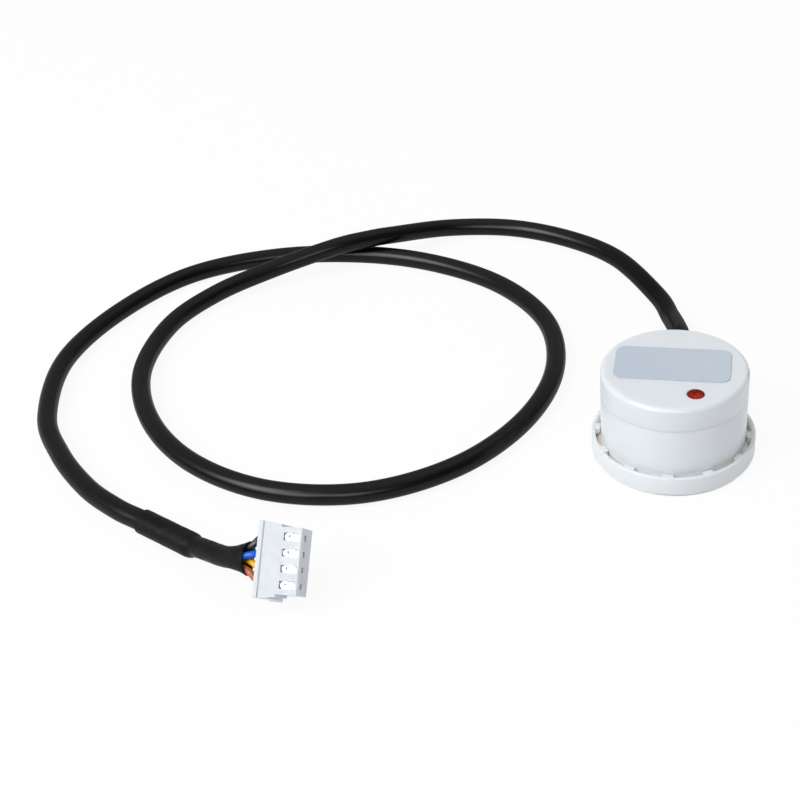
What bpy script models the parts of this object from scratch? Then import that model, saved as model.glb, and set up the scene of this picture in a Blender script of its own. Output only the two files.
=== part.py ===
"""Non-contact liquid level sensor with its cable and four-way plug.

Units are metres, +Z is up. The origin is the centre of the adhesive pad's
underside, X runs along the label's long side, the cable leaves towards +Y.
"""
import math

import bmesh
import bpy
from mathutils import Euler, Matrix, Vector

# Sensor head, set inside the ring
HEAD_INSET = 0.00155
HEAD_DRAFT = 0.00005
HEAD_HEIGHT = 0.01700
SEAM_ABOVE_EXIT = 0.00410
SEAM_CHAMFER = 0.00012
RIM_FILLET = 0.00090
CUP_WALL = 0.00135
CUP_FLOOR = 0.00120
FACE_INSET = 0.00160
FLANGE_GAP = 0.00030
FLANGE_THICKNESS = 0.00120
COVER_THICKNESS = 0.00130
SPIGOT_WALL = 0.00045
SPIGOT_LENGTH = 0.00110
GATE_NOTCH_WIDTH = 0.00240
GATE_NOTCH_DEPTH = 0.00035

# Mounting ring and its adhesive pad
RING_RADIUS = 0.01400
RING_WALL = 0.00070
RING_HEIGHT = 0.00400
RING_FLOOR = 0.00070
RING_EDGE = 0.00022
LUG_COUNT = 12
LUG_WIDTH = 0.00180
LUG_DROP = 0.00012
PAD_INSET = 0.00055
PAD_THICKNESS = 0.00060

# Clearances
SEAT = 0.00005
RUNNING_GAP = 0.00015
HOLE_GAP = 0.00010
CORE_GAP = 0.00030

# Label and lamp
LABEL_LENGTH = 0.01940
LABEL_WIDTH = 0.00970
LABEL_CORNER = 0.00160
LABEL_THICKNESS = 0.00012
LABEL_X = -0.00040
LABEL_Y = 0.00090
LED_ANGLE = -62.53
LED_RIM_GAP = 0.00035
LED_RADIUS = 0.00145
LED_FLANGE_RADIUS = 0.00180
LED_FLANGE_HEIGHT = 0.00080
LED_LENGTH = 0.00500
LED_STANDS_PROUD = 0.00030
LED_LEG_RADIUS = 0.00025
LED_LEG_PITCH = 0.00254
LED_DOME_FROM = 75.0
LED_DOME_HEIGHT = 0.00036

# Electronics
ELECTRODE_INSET = 0.00140
ELECTRODE_THICKNESS = 0.00030
ELECTRODE_PIN_RADIUS = 0.00040
RESIN_THICKNESS = 0.00180
LEDGE_WIDTH = 0.00070
BOARD_THICKNESS = 0.00100
LAYOUT_RADIUS = 0.01110
FOOT_REACH = 0.00080
FOOT_HEIGHT = 0.00018
CHIP_EDGE = 0.00008
TOUCH_CHIP_SIZE = (0.00390, 0.00490, 0.00150)
TOUCH_CHIP_PLACE = (-0.00420, -0.00020)
TOUCH_CHIP_PINS = 4
TOUCH_CHIP_PIN_STEP = 0.00127
TOUCH_CHIP_PIN_WIDTH = 0.00042
REGULATOR_SIZE = (0.00450, 0.00250, 0.00150)
REGULATOR_PLACE = (0.00500, 0.00080)
REGULATOR_PIN_STEP = 0.00150
REGULATOR_PIN_WIDTH = 0.00045
TRANSISTOR_SIZE = (0.00290, 0.00130, 0.00100)
TRANSISTOR_PLACE = (-0.00460, -0.00600)
TRANSISTOR_PIN_STEP = 0.00095
TRANSISTOR_PIN_WIDTH = 0.00040
DIODE_SIZE = (0.00270, 0.00160, 0.00110)
DIODE_PLACE = (0.00050, 0.00300)
DIODE_PIN_WIDTH = 0.00060
RESISTOR_SIZE = (0.00200, 0.00125, 0.00050)
LED_RESISTOR_PLACE = (0.00720, -0.00450)
PULL_UP_PLACE = (-0.00720, 0.00480)
TIMING_RESISTOR_PLACE = (-0.00050, -0.00880)
FILTER_SIZE = (0.00200, 0.00125, 0.00120)
FILTER_PLACE = (0.00740, 0.00400)
CAN_RADIUS = 0.00200
CAN_HEIGHT = 0.00540
CAN_GROOVE_HEIGHT = 0.00110
CAN_GROOVE = 0.00015
CAN_PLACE = (0.00040, -0.00400)

# Cable, its exit and the ribbed boot around it
CABLE_RADIUS = 0.00185
EXIT_HEIGHT = 0.00840
CABLE_INNER_END = 0.00900
GROMMET_NECK_RADIUS = 0.00250
GROMMET_FLANGE_RADIUS = 0.00295
GROMMET_FLANGE_THICKNESS = 0.00100
GROMMET_ROOT_RADIUS = 0.00285
GROMMET_TIP_RADIUS = 0.00235
GROMMET_REACH = 0.00640
RIB_COUNT = 3
RIB_FIRST = 0.00140
RIB_STEP = 0.00160
RIB_DEPTH = 0.00022
RIB_GROOVE = 0.00060
RIB_SLOPE = 0.00010

# Route of the cable on the floor, in millimetres: over its own second strand, then to the plug.
# Its first points follow the exit's height by these shares.
EXIT_SHARES = (1.0, 1.0, 1.0, 0.9, 0.6, 0.25)
CABLE_ROUTE = (
    (0.0, 9.0, 8.4), (0.0, 14.5, 8.4), (0.0, 20.0, 8.4), (-0.3, 24.5, 7.7), (-1.2, 30.5, 5.7),
    (-2.8, 37.9, 3.4), (-6.0, 47.8, 2.0), (-15.2, 62.1, 1.9), (-26.3, 70.0, 1.9), (-39.4, 74.0, 2.0),
    (-52.8, 71.9, 2.8), (-63.4, 63.6, 5.3), (-68.5, 60.0, 6.0), (-74.8, 56.1, 6.0), (-87.0, 50.1, 3.7),
    (-97.3, 41.5, 2.3), (-103.3, 29.1, 1.9), (-103.1, 12.1, 1.9), (-95.8, -3.4, 1.9), (-83.5, -15.2, 1.9),
    (-67.6, -21.4, 1.9), (-50.6, -20.2, 1.9), (-36.1, -11.3, 1.9), (-26.6, 2.9, 1.9), (-23.1, 19.6, 1.9),
    (-26.7, 36.2, 1.9), (-37.5, 49.4, 1.9), (-52.6, 57.5, 1.9), (-69.4, 60.6, 1.9), (-88.5, 58.4, 1.9),
    (-105.5, 49.6, 1.9), (-116.0, 33.6, 1.9), (-120.5, 15.0, 1.9), (-116.5, -3.7, 1.9), (-109.1, -15.1, 1.9),
    (-100.3, -24.0, 1.9), (-92.6, -29.3, 2.1), (-87.2, -31.9, 2.15), (-81.8, -34.5, 2.15), (-76.4, -37.1, 2.15),
)
MILLIMETRE = 0.001
CABLE_POINTS = 78
CURVE_STEPS = 12

# Shrunk tube over the jacket's end and the wires
SLEEVE_OVERLAP = 0.01120
SLEEVE_WALL = 0.00020
SLEEVE_FIT = 0.00012
SLEEVE_SHOULDER = 0.00110
SLEEVE_SAG = 0.00040
SLEEVE_TO_HOUSING = 0.00200
SPREAD_BEGIN = 0.42
SPREAD_END = 0.88
SLEEVE_SHARE = 0.62
SHOULDER_SHARE = 0.30
JACKET_STATIONS = 4
SHOULDER_STATION = 3
TAIL_SPANS = 5
MOUTH_SPAN = 3
TAIL_STEPS = 4

# Wires and leads
WIRE_RADIUS = 0.00057
WIRE_BUNDLE_RADIUS = 0.00085
LEAD_PAD_Y = 0.00560
LEAD_PAD_STEP = 0.00160
LEAD_STRAIGHT = 0.00060
LEAD_KNEE = 0.00125
LEAD_BOW = 0.00020
LEAD_STEPS = 3

# Four-way housing: x is the mating direction, y across the four ways, z out of the windowed face
WAYS = 4
PITCH = 0.00250
HOUSING_END_WALL = 0.00235
HOUSING_THICKNESS = 0.00575
HOUSING_LENGTH = 0.00710
FLANGE_LENGTH = 0.00370
FLANGE_TAPER = 0.00045
NOSE_INSET = 0.00085
NOSE_THICKNESS = 0.00505
LIP_LENGTH = 0.00070
LIP_PROUD = 0.00025
TAB_LENGTH = 0.00160
TAB_PROUD = 0.00030
TAB_HEIGHT = 0.00200
CAVITY_WIDTH = 0.00190
CAVITY_DEPTH = 0.00270
WAY_RISE = 0.00090
WINDOW_LENGTH = 0.00260
WINDOW_WIDTH = 0.00120
END_BRIDGE = 0.00035
PIN_HOLE = 0.00090
HOUSING_EDGE = 0.00015
HOUSING_TURN = (45.2, -2.0, -2.0)
HOUSING_X = -0.06124
HOUSING_Y = -0.04425
FLOOR_GAP = 0.00010

# Crimp terminals
TERMINAL_BOX_LENGTH = 0.00300
TERMINAL_BOX_WIDTH = 0.00150
TERMINAL_BOX_HEIGHT = 0.00240
TERMINAL_WALL = 0.00022
TERMINAL_END_GAP = 0.00010
CRIMP_LENGTH = 0.00130
CRIMP_WALL = 0.00020
CRIMP_START = 0.00080
LANCE_LENGTH = 0.00080
LANCE_RISE = 0.00040
STRIP_WIDTH = 0.00068
WIRE_IN_CRIMP = 0.80

# Facets
ROUND_STEPS = 60
DISC_STEPS = 48
SMALL_STEPS = 24
LEG_STEPS = 8
HOLE_STEPS = 12
CRIMP_STEPS = 16
EDGE_STEPS = 3
RIM_STEPS = 5
CORNER_STEPS = 6
MERGE = 0.000001

# Radii and heights that follow from the sizes above
RING_BORE = RING_RADIUS - RING_WALL
PAD_RADIUS = RING_RADIUS - PAD_INSET
HEAD_RADIUS = RING_RADIUS - HEAD_INSET
HEAD_FOOT_RADIUS = HEAD_RADIUS - HEAD_DRAFT
FLANGE_RADIUS = RING_BORE - FLANGE_GAP
CAVITY_RADIUS = HEAD_RADIUS - CUP_WALL
FACE_RADIUS = CAVITY_RADIUS - FACE_INSET
SPIGOT_RADIUS = CAVITY_RADIUS - SEAT
LEDGE_RADIUS = CAVITY_RADIUS - LEDGE_WIDTH
BOARD_RADIUS = CAVITY_RADIUS - HOLE_GAP
ELECTRODE_RADIUS = LEDGE_RADIUS - ELECTRODE_INSET
LED_DISTANCE = SPIGOT_RADIUS - SPIGOT_WALL - LED_FLANGE_RADIUS - LED_RIM_GAP
LED_X = LED_DISTANCE * math.cos(math.radians(LED_ANGLE))
LED_Y = LED_DISTANCE * math.sin(math.radians(LED_ANGLE))
PLAN = CAVITY_RADIUS / LAYOUT_RADIUS
SEAM_HEIGHT = EXIT_HEIGHT + SEAM_ABOVE_EXIT
RING_FLOOR_BOTTOM = PAD_THICKNESS + SEAT
RING_FLOOR_TOP = RING_FLOOR_BOTTOM + RING_FLOOR
FLANGE_BOTTOM = RING_FLOOR_TOP + RUNNING_GAP
FLANGE_TOP = FLANGE_BOTTOM + FLANGE_THICKNESS
FACE_BOTTOM = PAD_THICKNESS + RUNNING_GAP
CUP_FLOOR_TOP = FACE_BOTTOM + CUP_FLOOR
ELECTRODE_BOTTOM = CUP_FLOOR_TOP + SEAT
ELECTRODE_TOP = ELECTRODE_BOTTOM + ELECTRODE_THICKNESS
RESIN_BOTTOM = ELECTRODE_TOP + SEAT
RESIN_TOP = RESIN_BOTTOM + RESIN_THICKNESS
BOARD_BOTTOM = RESIN_TOP + SEAT
BOARD_TOP = BOARD_BOTTOM + BOARD_THICKNESS
COVER_UNDERSIDE = HEAD_HEIGHT - COVER_THICKNESS
LED_TOP = HEAD_HEIGHT + LED_STANDS_PROUD
LED_BASE = LED_TOP - LED_LENGTH
BOARD_PART_BASE = BOARD_TOP + SEAT
HOUSING_HALF_WIDTH = 0.5 * (WAYS - 1) * PITCH + HOUSING_END_WALL
HOUSING_HALF_THICKNESS = 0.5 * HOUSING_THICKNESS
NOSE_HALF_WIDTH = HOUSING_HALF_WIDTH - NOSE_INSET

WHITE_ABS = ("white_abs", (0.80, 0.82, 0.85), 0.38, 0.0)
BLACK_PVC = ("black_pvc", (0.012, 0.012, 0.013), 0.35, 0.0)
SHRINK = ("shrink_tube", (0.018, 0.018, 0.018), 0.55, 0.0)
NYLON = ("white_nylon", (0.78, 0.81, 0.86), 0.45, 0.0)
TIN = ("tinned_brass", (0.80, 0.80, 0.78), 0.25, 1.0)
RUBBER = ("black_rubber", (0.015, 0.015, 0.015), 0.6, 0.0)
LABEL_FILM = ("label_film", (0.48, 0.54, 0.62), 0.35, 0.0)
RED_LENS = ("red_lens", (0.42, 0.01, 0.005), 0.15, 0.0)
FOAM_TAPE = ("foam_tape", (0.75, 0.75, 0.72), 0.8, 0.0)
FIBREGLASS = ("green_board", (0.03, 0.18, 0.07), 0.4, 0.0)
COPPER = ("copper", (0.72, 0.38, 0.22), 0.3, 1.0)
EPOXY = ("epoxy_resin", (0.10, 0.08, 0.05), 0.3, 0.0)
CHIP_BLACK = ("chip_black", (0.02, 0.02, 0.022), 0.5, 0.0)
CERAMIC = ("brown_ceramic", (0.35, 0.24, 0.14), 0.5, 0.0)
ALUMINIUM = ("aluminium_can", (0.75, 0.76, 0.78), 0.3, 1.0)
WIRE_COLOURS = {
    "black": (0.012, 0.012, 0.012),
    "blue": (0.0, 0.11, 0.60),
    "yellow": (0.85, 0.50, 0.02),
    "brown": (0.45, 0.12, 0.05),
}


def clear_scene():
    for item in list(bpy.data.objects):
        bpy.data.objects.remove(item, do_unlink=True)


def make_collection(name):
    collection = bpy.data.collections.new(name)
    bpy.context.scene.collection.children.link(collection)
    return collection


clear_scene()
PARTS = make_collection("liquid_level_sensor")
CUTTERS = make_collection("cutters")


def material(finish):
    name, colour, roughness, metallic = finish
    found = bpy.data.materials.get(name)
    if found:
        return found
    made = bpy.data.materials.new(name)
    made.use_nodes = True
    shader = made.node_tree.nodes["Principled BSDF"]
    shader.inputs["Base Color"].default_value = (*colour, 1.0)
    shader.inputs["Roughness"].default_value = roughness
    shader.inputs["Metallic"].default_value = metallic
    made.diffuse_color = (*colour, 1.0)
    return made


def add_object(name, data, finish):
    """Link a sub-part, or a hidden cutter where no finish is given."""
    item = bpy.data.objects.new(name, data)
    if finish:
        data.materials.append(material(finish))
        PARTS.objects.link(item)
    else:
        CUTTERS.objects.link(item)
        item.hide_render = True
        item.display_type = "WIRE"
    return item


def mesh_from(name, bm):
    mesh = bpy.data.meshes.new(name)
    bm.to_mesh(mesh)
    bm.free()
    return mesh


def turned(name, profile, finish, steps=ROUND_STEPS, closed=False):
    """Turn a profile of (radius, height) about Z; its outer side runs from top to bottom."""
    bm = bmesh.new()
    corners = [bm.verts.new((radius, 0.0, height)) for radius, height in profile]
    for first, second in zip(corners, corners[1:]):
        bm.edges.new((first, second))
    if closed:
        bm.edges.new((corners[-1], corners[0]))
    item = add_object(name, mesh_from(name, bm), finish)
    screw = item.modifiers.new("turn", "SCREW")
    screw.steps = steps
    screw.render_steps = steps
    screw.use_merge_vertices = True
    screw.merge_threshold = MERGE
    screw.use_smooth_shade = False
    return item


def cylinder(name, radius, low, high, finish, steps=SMALL_STEPS):
    return turned(name, [(0.0, high), (radius, high), (radius, low), (0.0, low)], finish, steps)


def box_mesh(name, boxes):
    """One mesh holding boxes given as (centre, size)."""
    bm = bmesh.new()
    for centre, size in boxes:
        place = Matrix.Translation(centre) @ Matrix.Diagonal((*size, 1.0))
        bmesh.ops.create_cube(bm, size=1.0, matrix=place)
    return mesh_from(name, bm)


def box(name, size, centre, finish, edge=0.0):
    item = add_object(name, box_mesh(name, [(Vector((0, 0, 0)), size)]), finish)
    item.location = centre
    if edge:
        round_edges(item, edge)
    return item


def round_edges(item, width, segments=2):
    bevel = item.modifiers.new("edges", "BEVEL")
    bevel.width = width
    bevel.segments = segments
    bevel.limit_method = "ANGLE"
    bevel.angle_limit = math.radians(40.0)


def boolean(target, tool, operation):
    change = target.modifiers.new(operation.lower(), "BOOLEAN")
    change.operation = operation
    change.object = tool
    change.solver = "EXACT"


def arc(centre, radius, start, end, count):
    """Points on an arc in a profile, angles in degrees, both ends included."""
    points = []
    for index in range(count + 1):
        angle = math.radians(start + (end - start) * index / count)
        points.append((centre[0] + radius * math.cos(angle), centre[1] + radius * math.sin(angle)))
    return points


def smooth_curve(points, per_span):
    """Catmull-Rom curve through the points, with evenly many samples in each span."""
    padded = [points[0] * 2 - points[1], *points, points[-1] * 2 - points[-2]]
    samples = []
    for index in range(1, len(padded) - 2):
        before, start, end, after = padded[index - 1:index + 3]
        for step in range(per_span):
            t = step / per_span
            linear = (end - before) * t
            square = (before * 2 - start * 5 + end * 4 - after) * t * t
            cube = (start * 3 - before - end * 3 + after) * t * t * t
            samples.append((start * 2 + linear + square + cube) * 0.5)
    samples.append(points[-1])
    return samples


def evenly_spaced(samples, count):
    """Pick count points at equal distances along a fine polyline."""
    lengths = [0.0]
    for first, second in zip(samples, samples[1:]):
        lengths.append(lengths[-1] + (second - first).length)
    picked = []
    index = 0
    for number in range(count):
        wanted = lengths[-1] * number / (count - 1)
        while index < len(samples) - 2 and lengths[index + 1] < wanted:
            index += 1
        part = (wanted - lengths[index]) / (lengths[index + 1] - lengths[index])
        picked.append(samples[index].lerp(samples[index + 1], part))
    return picked


def tube(name, points, radius, finish, resolution=2):
    curve = bpy.data.curves.new(name, "CURVE")
    curve.dimensions = "3D"
    curve.bevel_depth = radius
    curve.bevel_resolution = resolution
    curve.use_fill_caps = True
    spline = curve.splines.new("POLY")
    spline.points.add(len(points) - 1)
    for point, place in zip(spline.points, points):
        point.co = (*place, 1.0)
    return add_object(name, curve, finish)


def build_adhesive_pad():
    return cylinder("adhesive_pad", PAD_RADIUS, 0.0, PAD_THICKNESS, FOAM_TAPE, ROUND_STEPS)


def build_mounting_ring():
    """Thin collar with a floor under the head's flange and inward lugs that hold the flange down."""
    hole = FACE_RADIUS + 2 * RUNNING_GAP
    profile = [(RING_BORE, RING_HEIGHT)]
    profile += arc((RING_RADIUS - RING_EDGE, RING_HEIGHT - RING_EDGE), RING_EDGE, 90.0, 0.0, EDGE_STEPS)
    profile += arc((RING_RADIUS - RING_EDGE, RING_FLOOR_BOTTOM + RING_EDGE), RING_EDGE, 0.0, -90.0, EDGE_STEPS)
    profile += [(hole, RING_FLOOR_BOTTOM), (hole, RING_FLOOR_TOP), (RING_BORE, RING_FLOOR_TOP)]
    ring = turned("mounting_ring", profile, WHITE_ABS, closed=True)

    lug_tip = HEAD_FOOT_RADIUS + RUNNING_GAP
    lug_root = RING_RADIUS - 0.5 * RING_WALL
    lug_bottom = FLANGE_TOP + RUNNING_GAP
    lug_top = RING_HEIGHT - LUG_DROP
    bm = bmesh.new()
    for number in range(LUG_COUNT):
        turn = Matrix.Rotation(2.0 * math.pi * number / LUG_COUNT, 4, "Z")
        centre = Vector((0.5 * (lug_tip + lug_root), 0.0, 0.5 * (lug_bottom + lug_top)))
        size = (lug_root - lug_tip, LUG_WIDTH, lug_top - lug_bottom, 1.0)
        bmesh.ops.create_cube(bm, size=1.0, matrix=turn @ Matrix.Translation(centre) @ Matrix.Diagonal(size))
    lugs = add_object("ring_lugs", mesh_from("ring_lugs", bm), None)
    boolean(ring, lugs, "UNION")
    return ring


def build_sensor_cup():
    """Cup with a thin sensing face, a retaining flange, a ledge for the board and a cable hole."""
    profile = [
        (0.0, CUP_FLOOR_TOP),
        (LEDGE_RADIUS, CUP_FLOOR_TOP),
        (LEDGE_RADIUS, BOARD_BOTTOM - SEAT),
        (CAVITY_RADIUS, BOARD_BOTTOM - SEAT),
        (CAVITY_RADIUS, SEAM_HEIGHT),
        (HEAD_RADIUS - SEAM_CHAMFER, SEAM_HEIGHT),
        (HEAD_RADIUS, SEAM_HEIGHT - SEAM_CHAMFER),
        (HEAD_FOOT_RADIUS, FLANGE_TOP),
        (FLANGE_RADIUS, FLANGE_TOP),
        (FLANGE_RADIUS, FLANGE_BOTTOM),
        (FACE_RADIUS, FLANGE_BOTTOM),
        (FACE_RADIUS, FACE_BOTTOM),
        (0.0, FACE_BOTTOM),
    ]
    cup = turned("sensor_cup", profile, WHITE_ABS)
    radius = GROMMET_NECK_RADIUS + HOLE_GAP
    hole = cylinder("cable_hole", radius, 0.5 * HEAD_RADIUS, 1.5 * HEAD_RADIUS, None)
    hole.rotation_euler = (-0.5 * math.pi, 0.0, 0.0)
    hole.location = (0.0, 0.0, EXIT_HEIGHT)
    boolean(cup, hole, "DIFFERENCE")
    return cup


def build_top_cover():
    """Cap with a rounded rim, a spigot that enters the cup and a hole for the lamp."""
    bottom = SEAM_HEIGHT + SEAT
    profile = [(0.0, HEAD_HEIGHT)]
    profile += arc((HEAD_RADIUS - RIM_FILLET, HEAD_HEIGHT - RIM_FILLET), RIM_FILLET, 90.0, 0.0, RIM_STEPS)
    profile += [
        (HEAD_RADIUS, bottom + SEAM_CHAMFER),
        (HEAD_RADIUS - SEAM_CHAMFER, bottom),
        (SPIGOT_RADIUS, bottom),
        (SPIGOT_RADIUS, bottom - SPIGOT_LENGTH),
        (SPIGOT_RADIUS - SPIGOT_WALL, bottom - SPIGOT_LENGTH),
        (SPIGOT_RADIUS - SPIGOT_WALL, COVER_UNDERSIDE),
        (0.0, COVER_UNDERSIDE),
    ]
    cover = turned("top_cover", profile, WHITE_ABS)
    hole = cylinder("lamp_hole", LED_RADIUS + HOLE_GAP, 0.5 * HEAD_HEIGHT, 1.5 * HEAD_HEIGHT, None)
    hole.location = (LED_X, LED_Y, 0.0)
    boolean(cover, hole, "DIFFERENCE")

    notch_size = (2.0 * GATE_NOTCH_DEPTH, GATE_NOTCH_WIDTH, 2.0 * RIM_FILLET)
    notch = box("gate_notch", notch_size, (HEAD_RADIUS, 0.0, HEAD_HEIGHT - 0.5 * RIM_FILLET), None)
    boolean(cover, notch, "DIFFERENCE")
    return cover


def build_label():
    """Blank rounded plate, a thin film stuck to the top face."""
    half_x = 0.5 * PLAN * LABEL_LENGTH - LABEL_CORNER
    half_y = 0.5 * PLAN * LABEL_WIDTH - LABEL_CORNER
    outline = []
    for sign_x, sign_y, start in ((1, 1, 0.0), (-1, 1, 90.0), (-1, -1, 180.0), (1, -1, 270.0)):
        outline += arc((sign_x * half_x, sign_y * half_y), LABEL_CORNER, start, start + 90.0, CORNER_STEPS)
    curve = bpy.data.curves.new("label_plate", "CURVE")
    curve.dimensions = "2D"
    curve.fill_mode = "BOTH"
    curve.extrude = 0.5 * LABEL_THICKNESS
    spline = curve.splines.new("POLY")
    spline.points.add(len(outline) - 1)
    for point, (x, y) in zip(spline.points, outline):
        point.co = (x, y, 0.0, 1.0)
    spline.use_cyclic_u = True
    label = add_object("label_plate", curve, LABEL_FILM)
    label.location = (PLAN * LABEL_X, PLAN * LABEL_Y, HEAD_HEIGHT + SEAT + 0.5 * LABEL_THICKNESS)
    return label


def build_status_led():
    """Domed lamp with a base flange and two legs that reach into the board."""
    dome_base = LED_TOP - LED_DOME_HEIGHT
    flatness = LED_DOME_HEIGHT / LED_RADIUS
    profile = [(0.0, LED_TOP)]
    profile += [(r, dome_base + flatness * z) for r, z in
                arc((0.0, 0.0), LED_RADIUS, LED_DOME_FROM, 0.0, RIM_STEPS)]
    profile += [
        (LED_RADIUS, LED_BASE + LED_FLANGE_HEIGHT),
        (LED_FLANGE_RADIUS, LED_BASE + LED_FLANGE_HEIGHT),
        (LED_FLANGE_RADIUS, LED_BASE),
        (0.0, LED_BASE),
    ]
    lamp = turned("status_led", profile, RED_LENS, SMALL_STEPS)
    lamp.location = (LED_X, LED_Y, 0.0)
    for side in (-1, 1):
        top = LED_BASE + 0.5 * LED_FLANGE_HEIGHT
        leg = cylinder("lamp_leg", LED_LEG_RADIUS, BOARD_BOTTOM, top, None, LEG_STEPS)
        leg.location = (LED_X + side * 0.5 * LED_LEG_PITCH, LED_Y, 0.0)
        boolean(lamp, leg, "UNION")
    return lamp


def build_circuit_board():
    board = cylinder("circuit_board", BOARD_RADIUS, BOARD_BOTTOM, BOARD_TOP, FIBREGLASS, ROUND_STEPS)
    for side in (-1, 1):
        hole = cylinder("leg_hole", LED_LEG_RADIUS + HOLE_GAP, 0.0, 2.0 * BOARD_TOP, None, HOLE_STEPS)
        hole.location = (LED_X + side * 0.5 * LED_LEG_PITCH, LED_Y, 0.0)
        boolean(board, hole, "DIFFERENCE")
    return board


def build_sensing_electrode():
    """Copper disc with a pin that reaches the board through the resin."""
    top = BOARD_BOTTOM - SEAT
    profile = [
        (0.0, top),
        (ELECTRODE_PIN_RADIUS, top),
        (ELECTRODE_PIN_RADIUS, ELECTRODE_TOP),
        (ELECTRODE_RADIUS, ELECTRODE_TOP),
        (ELECTRODE_RADIUS, ELECTRODE_BOTTOM),
        (0.0, ELECTRODE_BOTTOM),
    ]
    return turned("sensing_electrode", profile, COPPER, DISC_STEPS)


def build_potting_resin():
    bore = ELECTRODE_PIN_RADIUS + HOLE_GAP
    outer = LEDGE_RADIUS - SEAT
    profile = [(bore, RESIN_TOP), (outer, RESIN_TOP), (outer, RESIN_BOTTOM), (bore, RESIN_BOTTOM)]
    return turned("potting_resin", profile, EPOXY, DISC_STEPS, closed=True)


def build_chip(name, body, place, pads, finish=CHIP_BLACK):
    """Surface-mounted part: moulded body with flat feet, pads are (x, y, width, length)."""
    size = (PLAN * body[0], PLAN * body[1], body[2])
    centre = (PLAN * place[0], PLAN * place[1], BOARD_PART_BASE + 0.5 * body[2])
    item = box(name, size, centre, finish, CHIP_EDGE)
    if pads:
        feet = []
        for x, y, width, length in pads:
            middle = Vector((PLAN * x, PLAN * y, 0.5 * (FOOT_HEIGHT - body[2])))
            feet.append((middle, (PLAN * width, PLAN * length, FOOT_HEIGHT)))
        tool = add_object(name + "_feet", box_mesh(name + "_feet", feet), None)
        tool.location = item.location
        boolean(item, tool, "UNION")
    return item


def pad_distance(width):
    """Distance from a body's middle to the middle of its feet, which stand out by most of their length."""
    return 0.5 * width + 0.2 * FOOT_REACH


def build_board_parts():
    """Small parts on the board's upper side."""
    pads = []
    for side in (-1, 1):
        for number in range(TOUCH_CHIP_PINS):
            y = (number - 0.5 * (TOUCH_CHIP_PINS - 1)) * TOUCH_CHIP_PIN_STEP
            pads.append((side * pad_distance(TOUCH_CHIP_SIZE[0]), y, FOOT_REACH, TOUCH_CHIP_PIN_WIDTH))
    build_chip("touch_chip", TOUCH_CHIP_SIZE, TOUCH_CHIP_PLACE, pads)

    y = -pad_distance(REGULATOR_SIZE[1])
    pads = [(side * REGULATOR_PIN_STEP, y, REGULATOR_PIN_WIDTH, FOOT_REACH) for side in (-1, 0, 1)]
    build_chip("voltage_regulator", REGULATOR_SIZE, REGULATOR_PLACE, pads)

    y = pad_distance(TRANSISTOR_SIZE[1])
    pads = [(side * TRANSISTOR_PIN_STEP, -y, TRANSISTOR_PIN_WIDTH, FOOT_REACH) for side in (-1, 1)]
    pads.append((0.0, y, TRANSISTOR_PIN_WIDTH, FOOT_REACH))
    build_chip("output_transistor", TRANSISTOR_SIZE, TRANSISTOR_PLACE, pads)

    x = pad_distance(DIODE_SIZE[0])
    pads = [(side * x, 0.0, FOOT_REACH, DIODE_PIN_WIDTH) for side in (-1, 1)]
    build_chip("protection_diode", DIODE_SIZE, DIODE_PLACE, pads)

    build_chip("led_resistor", RESISTOR_SIZE, LED_RESISTOR_PLACE, [])
    build_chip("pull_up_resistor", RESISTOR_SIZE, PULL_UP_PLACE, [])
    build_chip("timing_resistor", RESISTOR_SIZE, TIMING_RESISTOR_PLACE, [])
    build_chip("filter_capacitor", FILTER_SIZE, FILTER_PLACE, [], CERAMIC)


def build_smoothing_capacitor():
    """Small aluminium can with a rolled groove near its foot."""
    top = BOARD_PART_BASE + CAN_HEIGHT
    groove = BOARD_PART_BASE + CAN_GROOVE_HEIGHT
    profile = [
        (0.0, top),
        (CAN_RADIUS - CAN_GROOVE, top),
        (CAN_RADIUS, top - CAN_GROOVE),
        (CAN_RADIUS, groove + CAN_GROOVE),
        (CAN_RADIUS - CAN_GROOVE, groove),
        (CAN_RADIUS, groove - CAN_GROOVE),
        (CAN_RADIUS, BOARD_PART_BASE),
        (0.0, BOARD_PART_BASE),
    ]
    can = turned("smoothing_capacitor", profile, ALUMINIUM, SMALL_STEPS)
    can.location = (PLAN * CAN_PLACE[0], PLAN * CAN_PLACE[1], 0.0)
    return can


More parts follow.
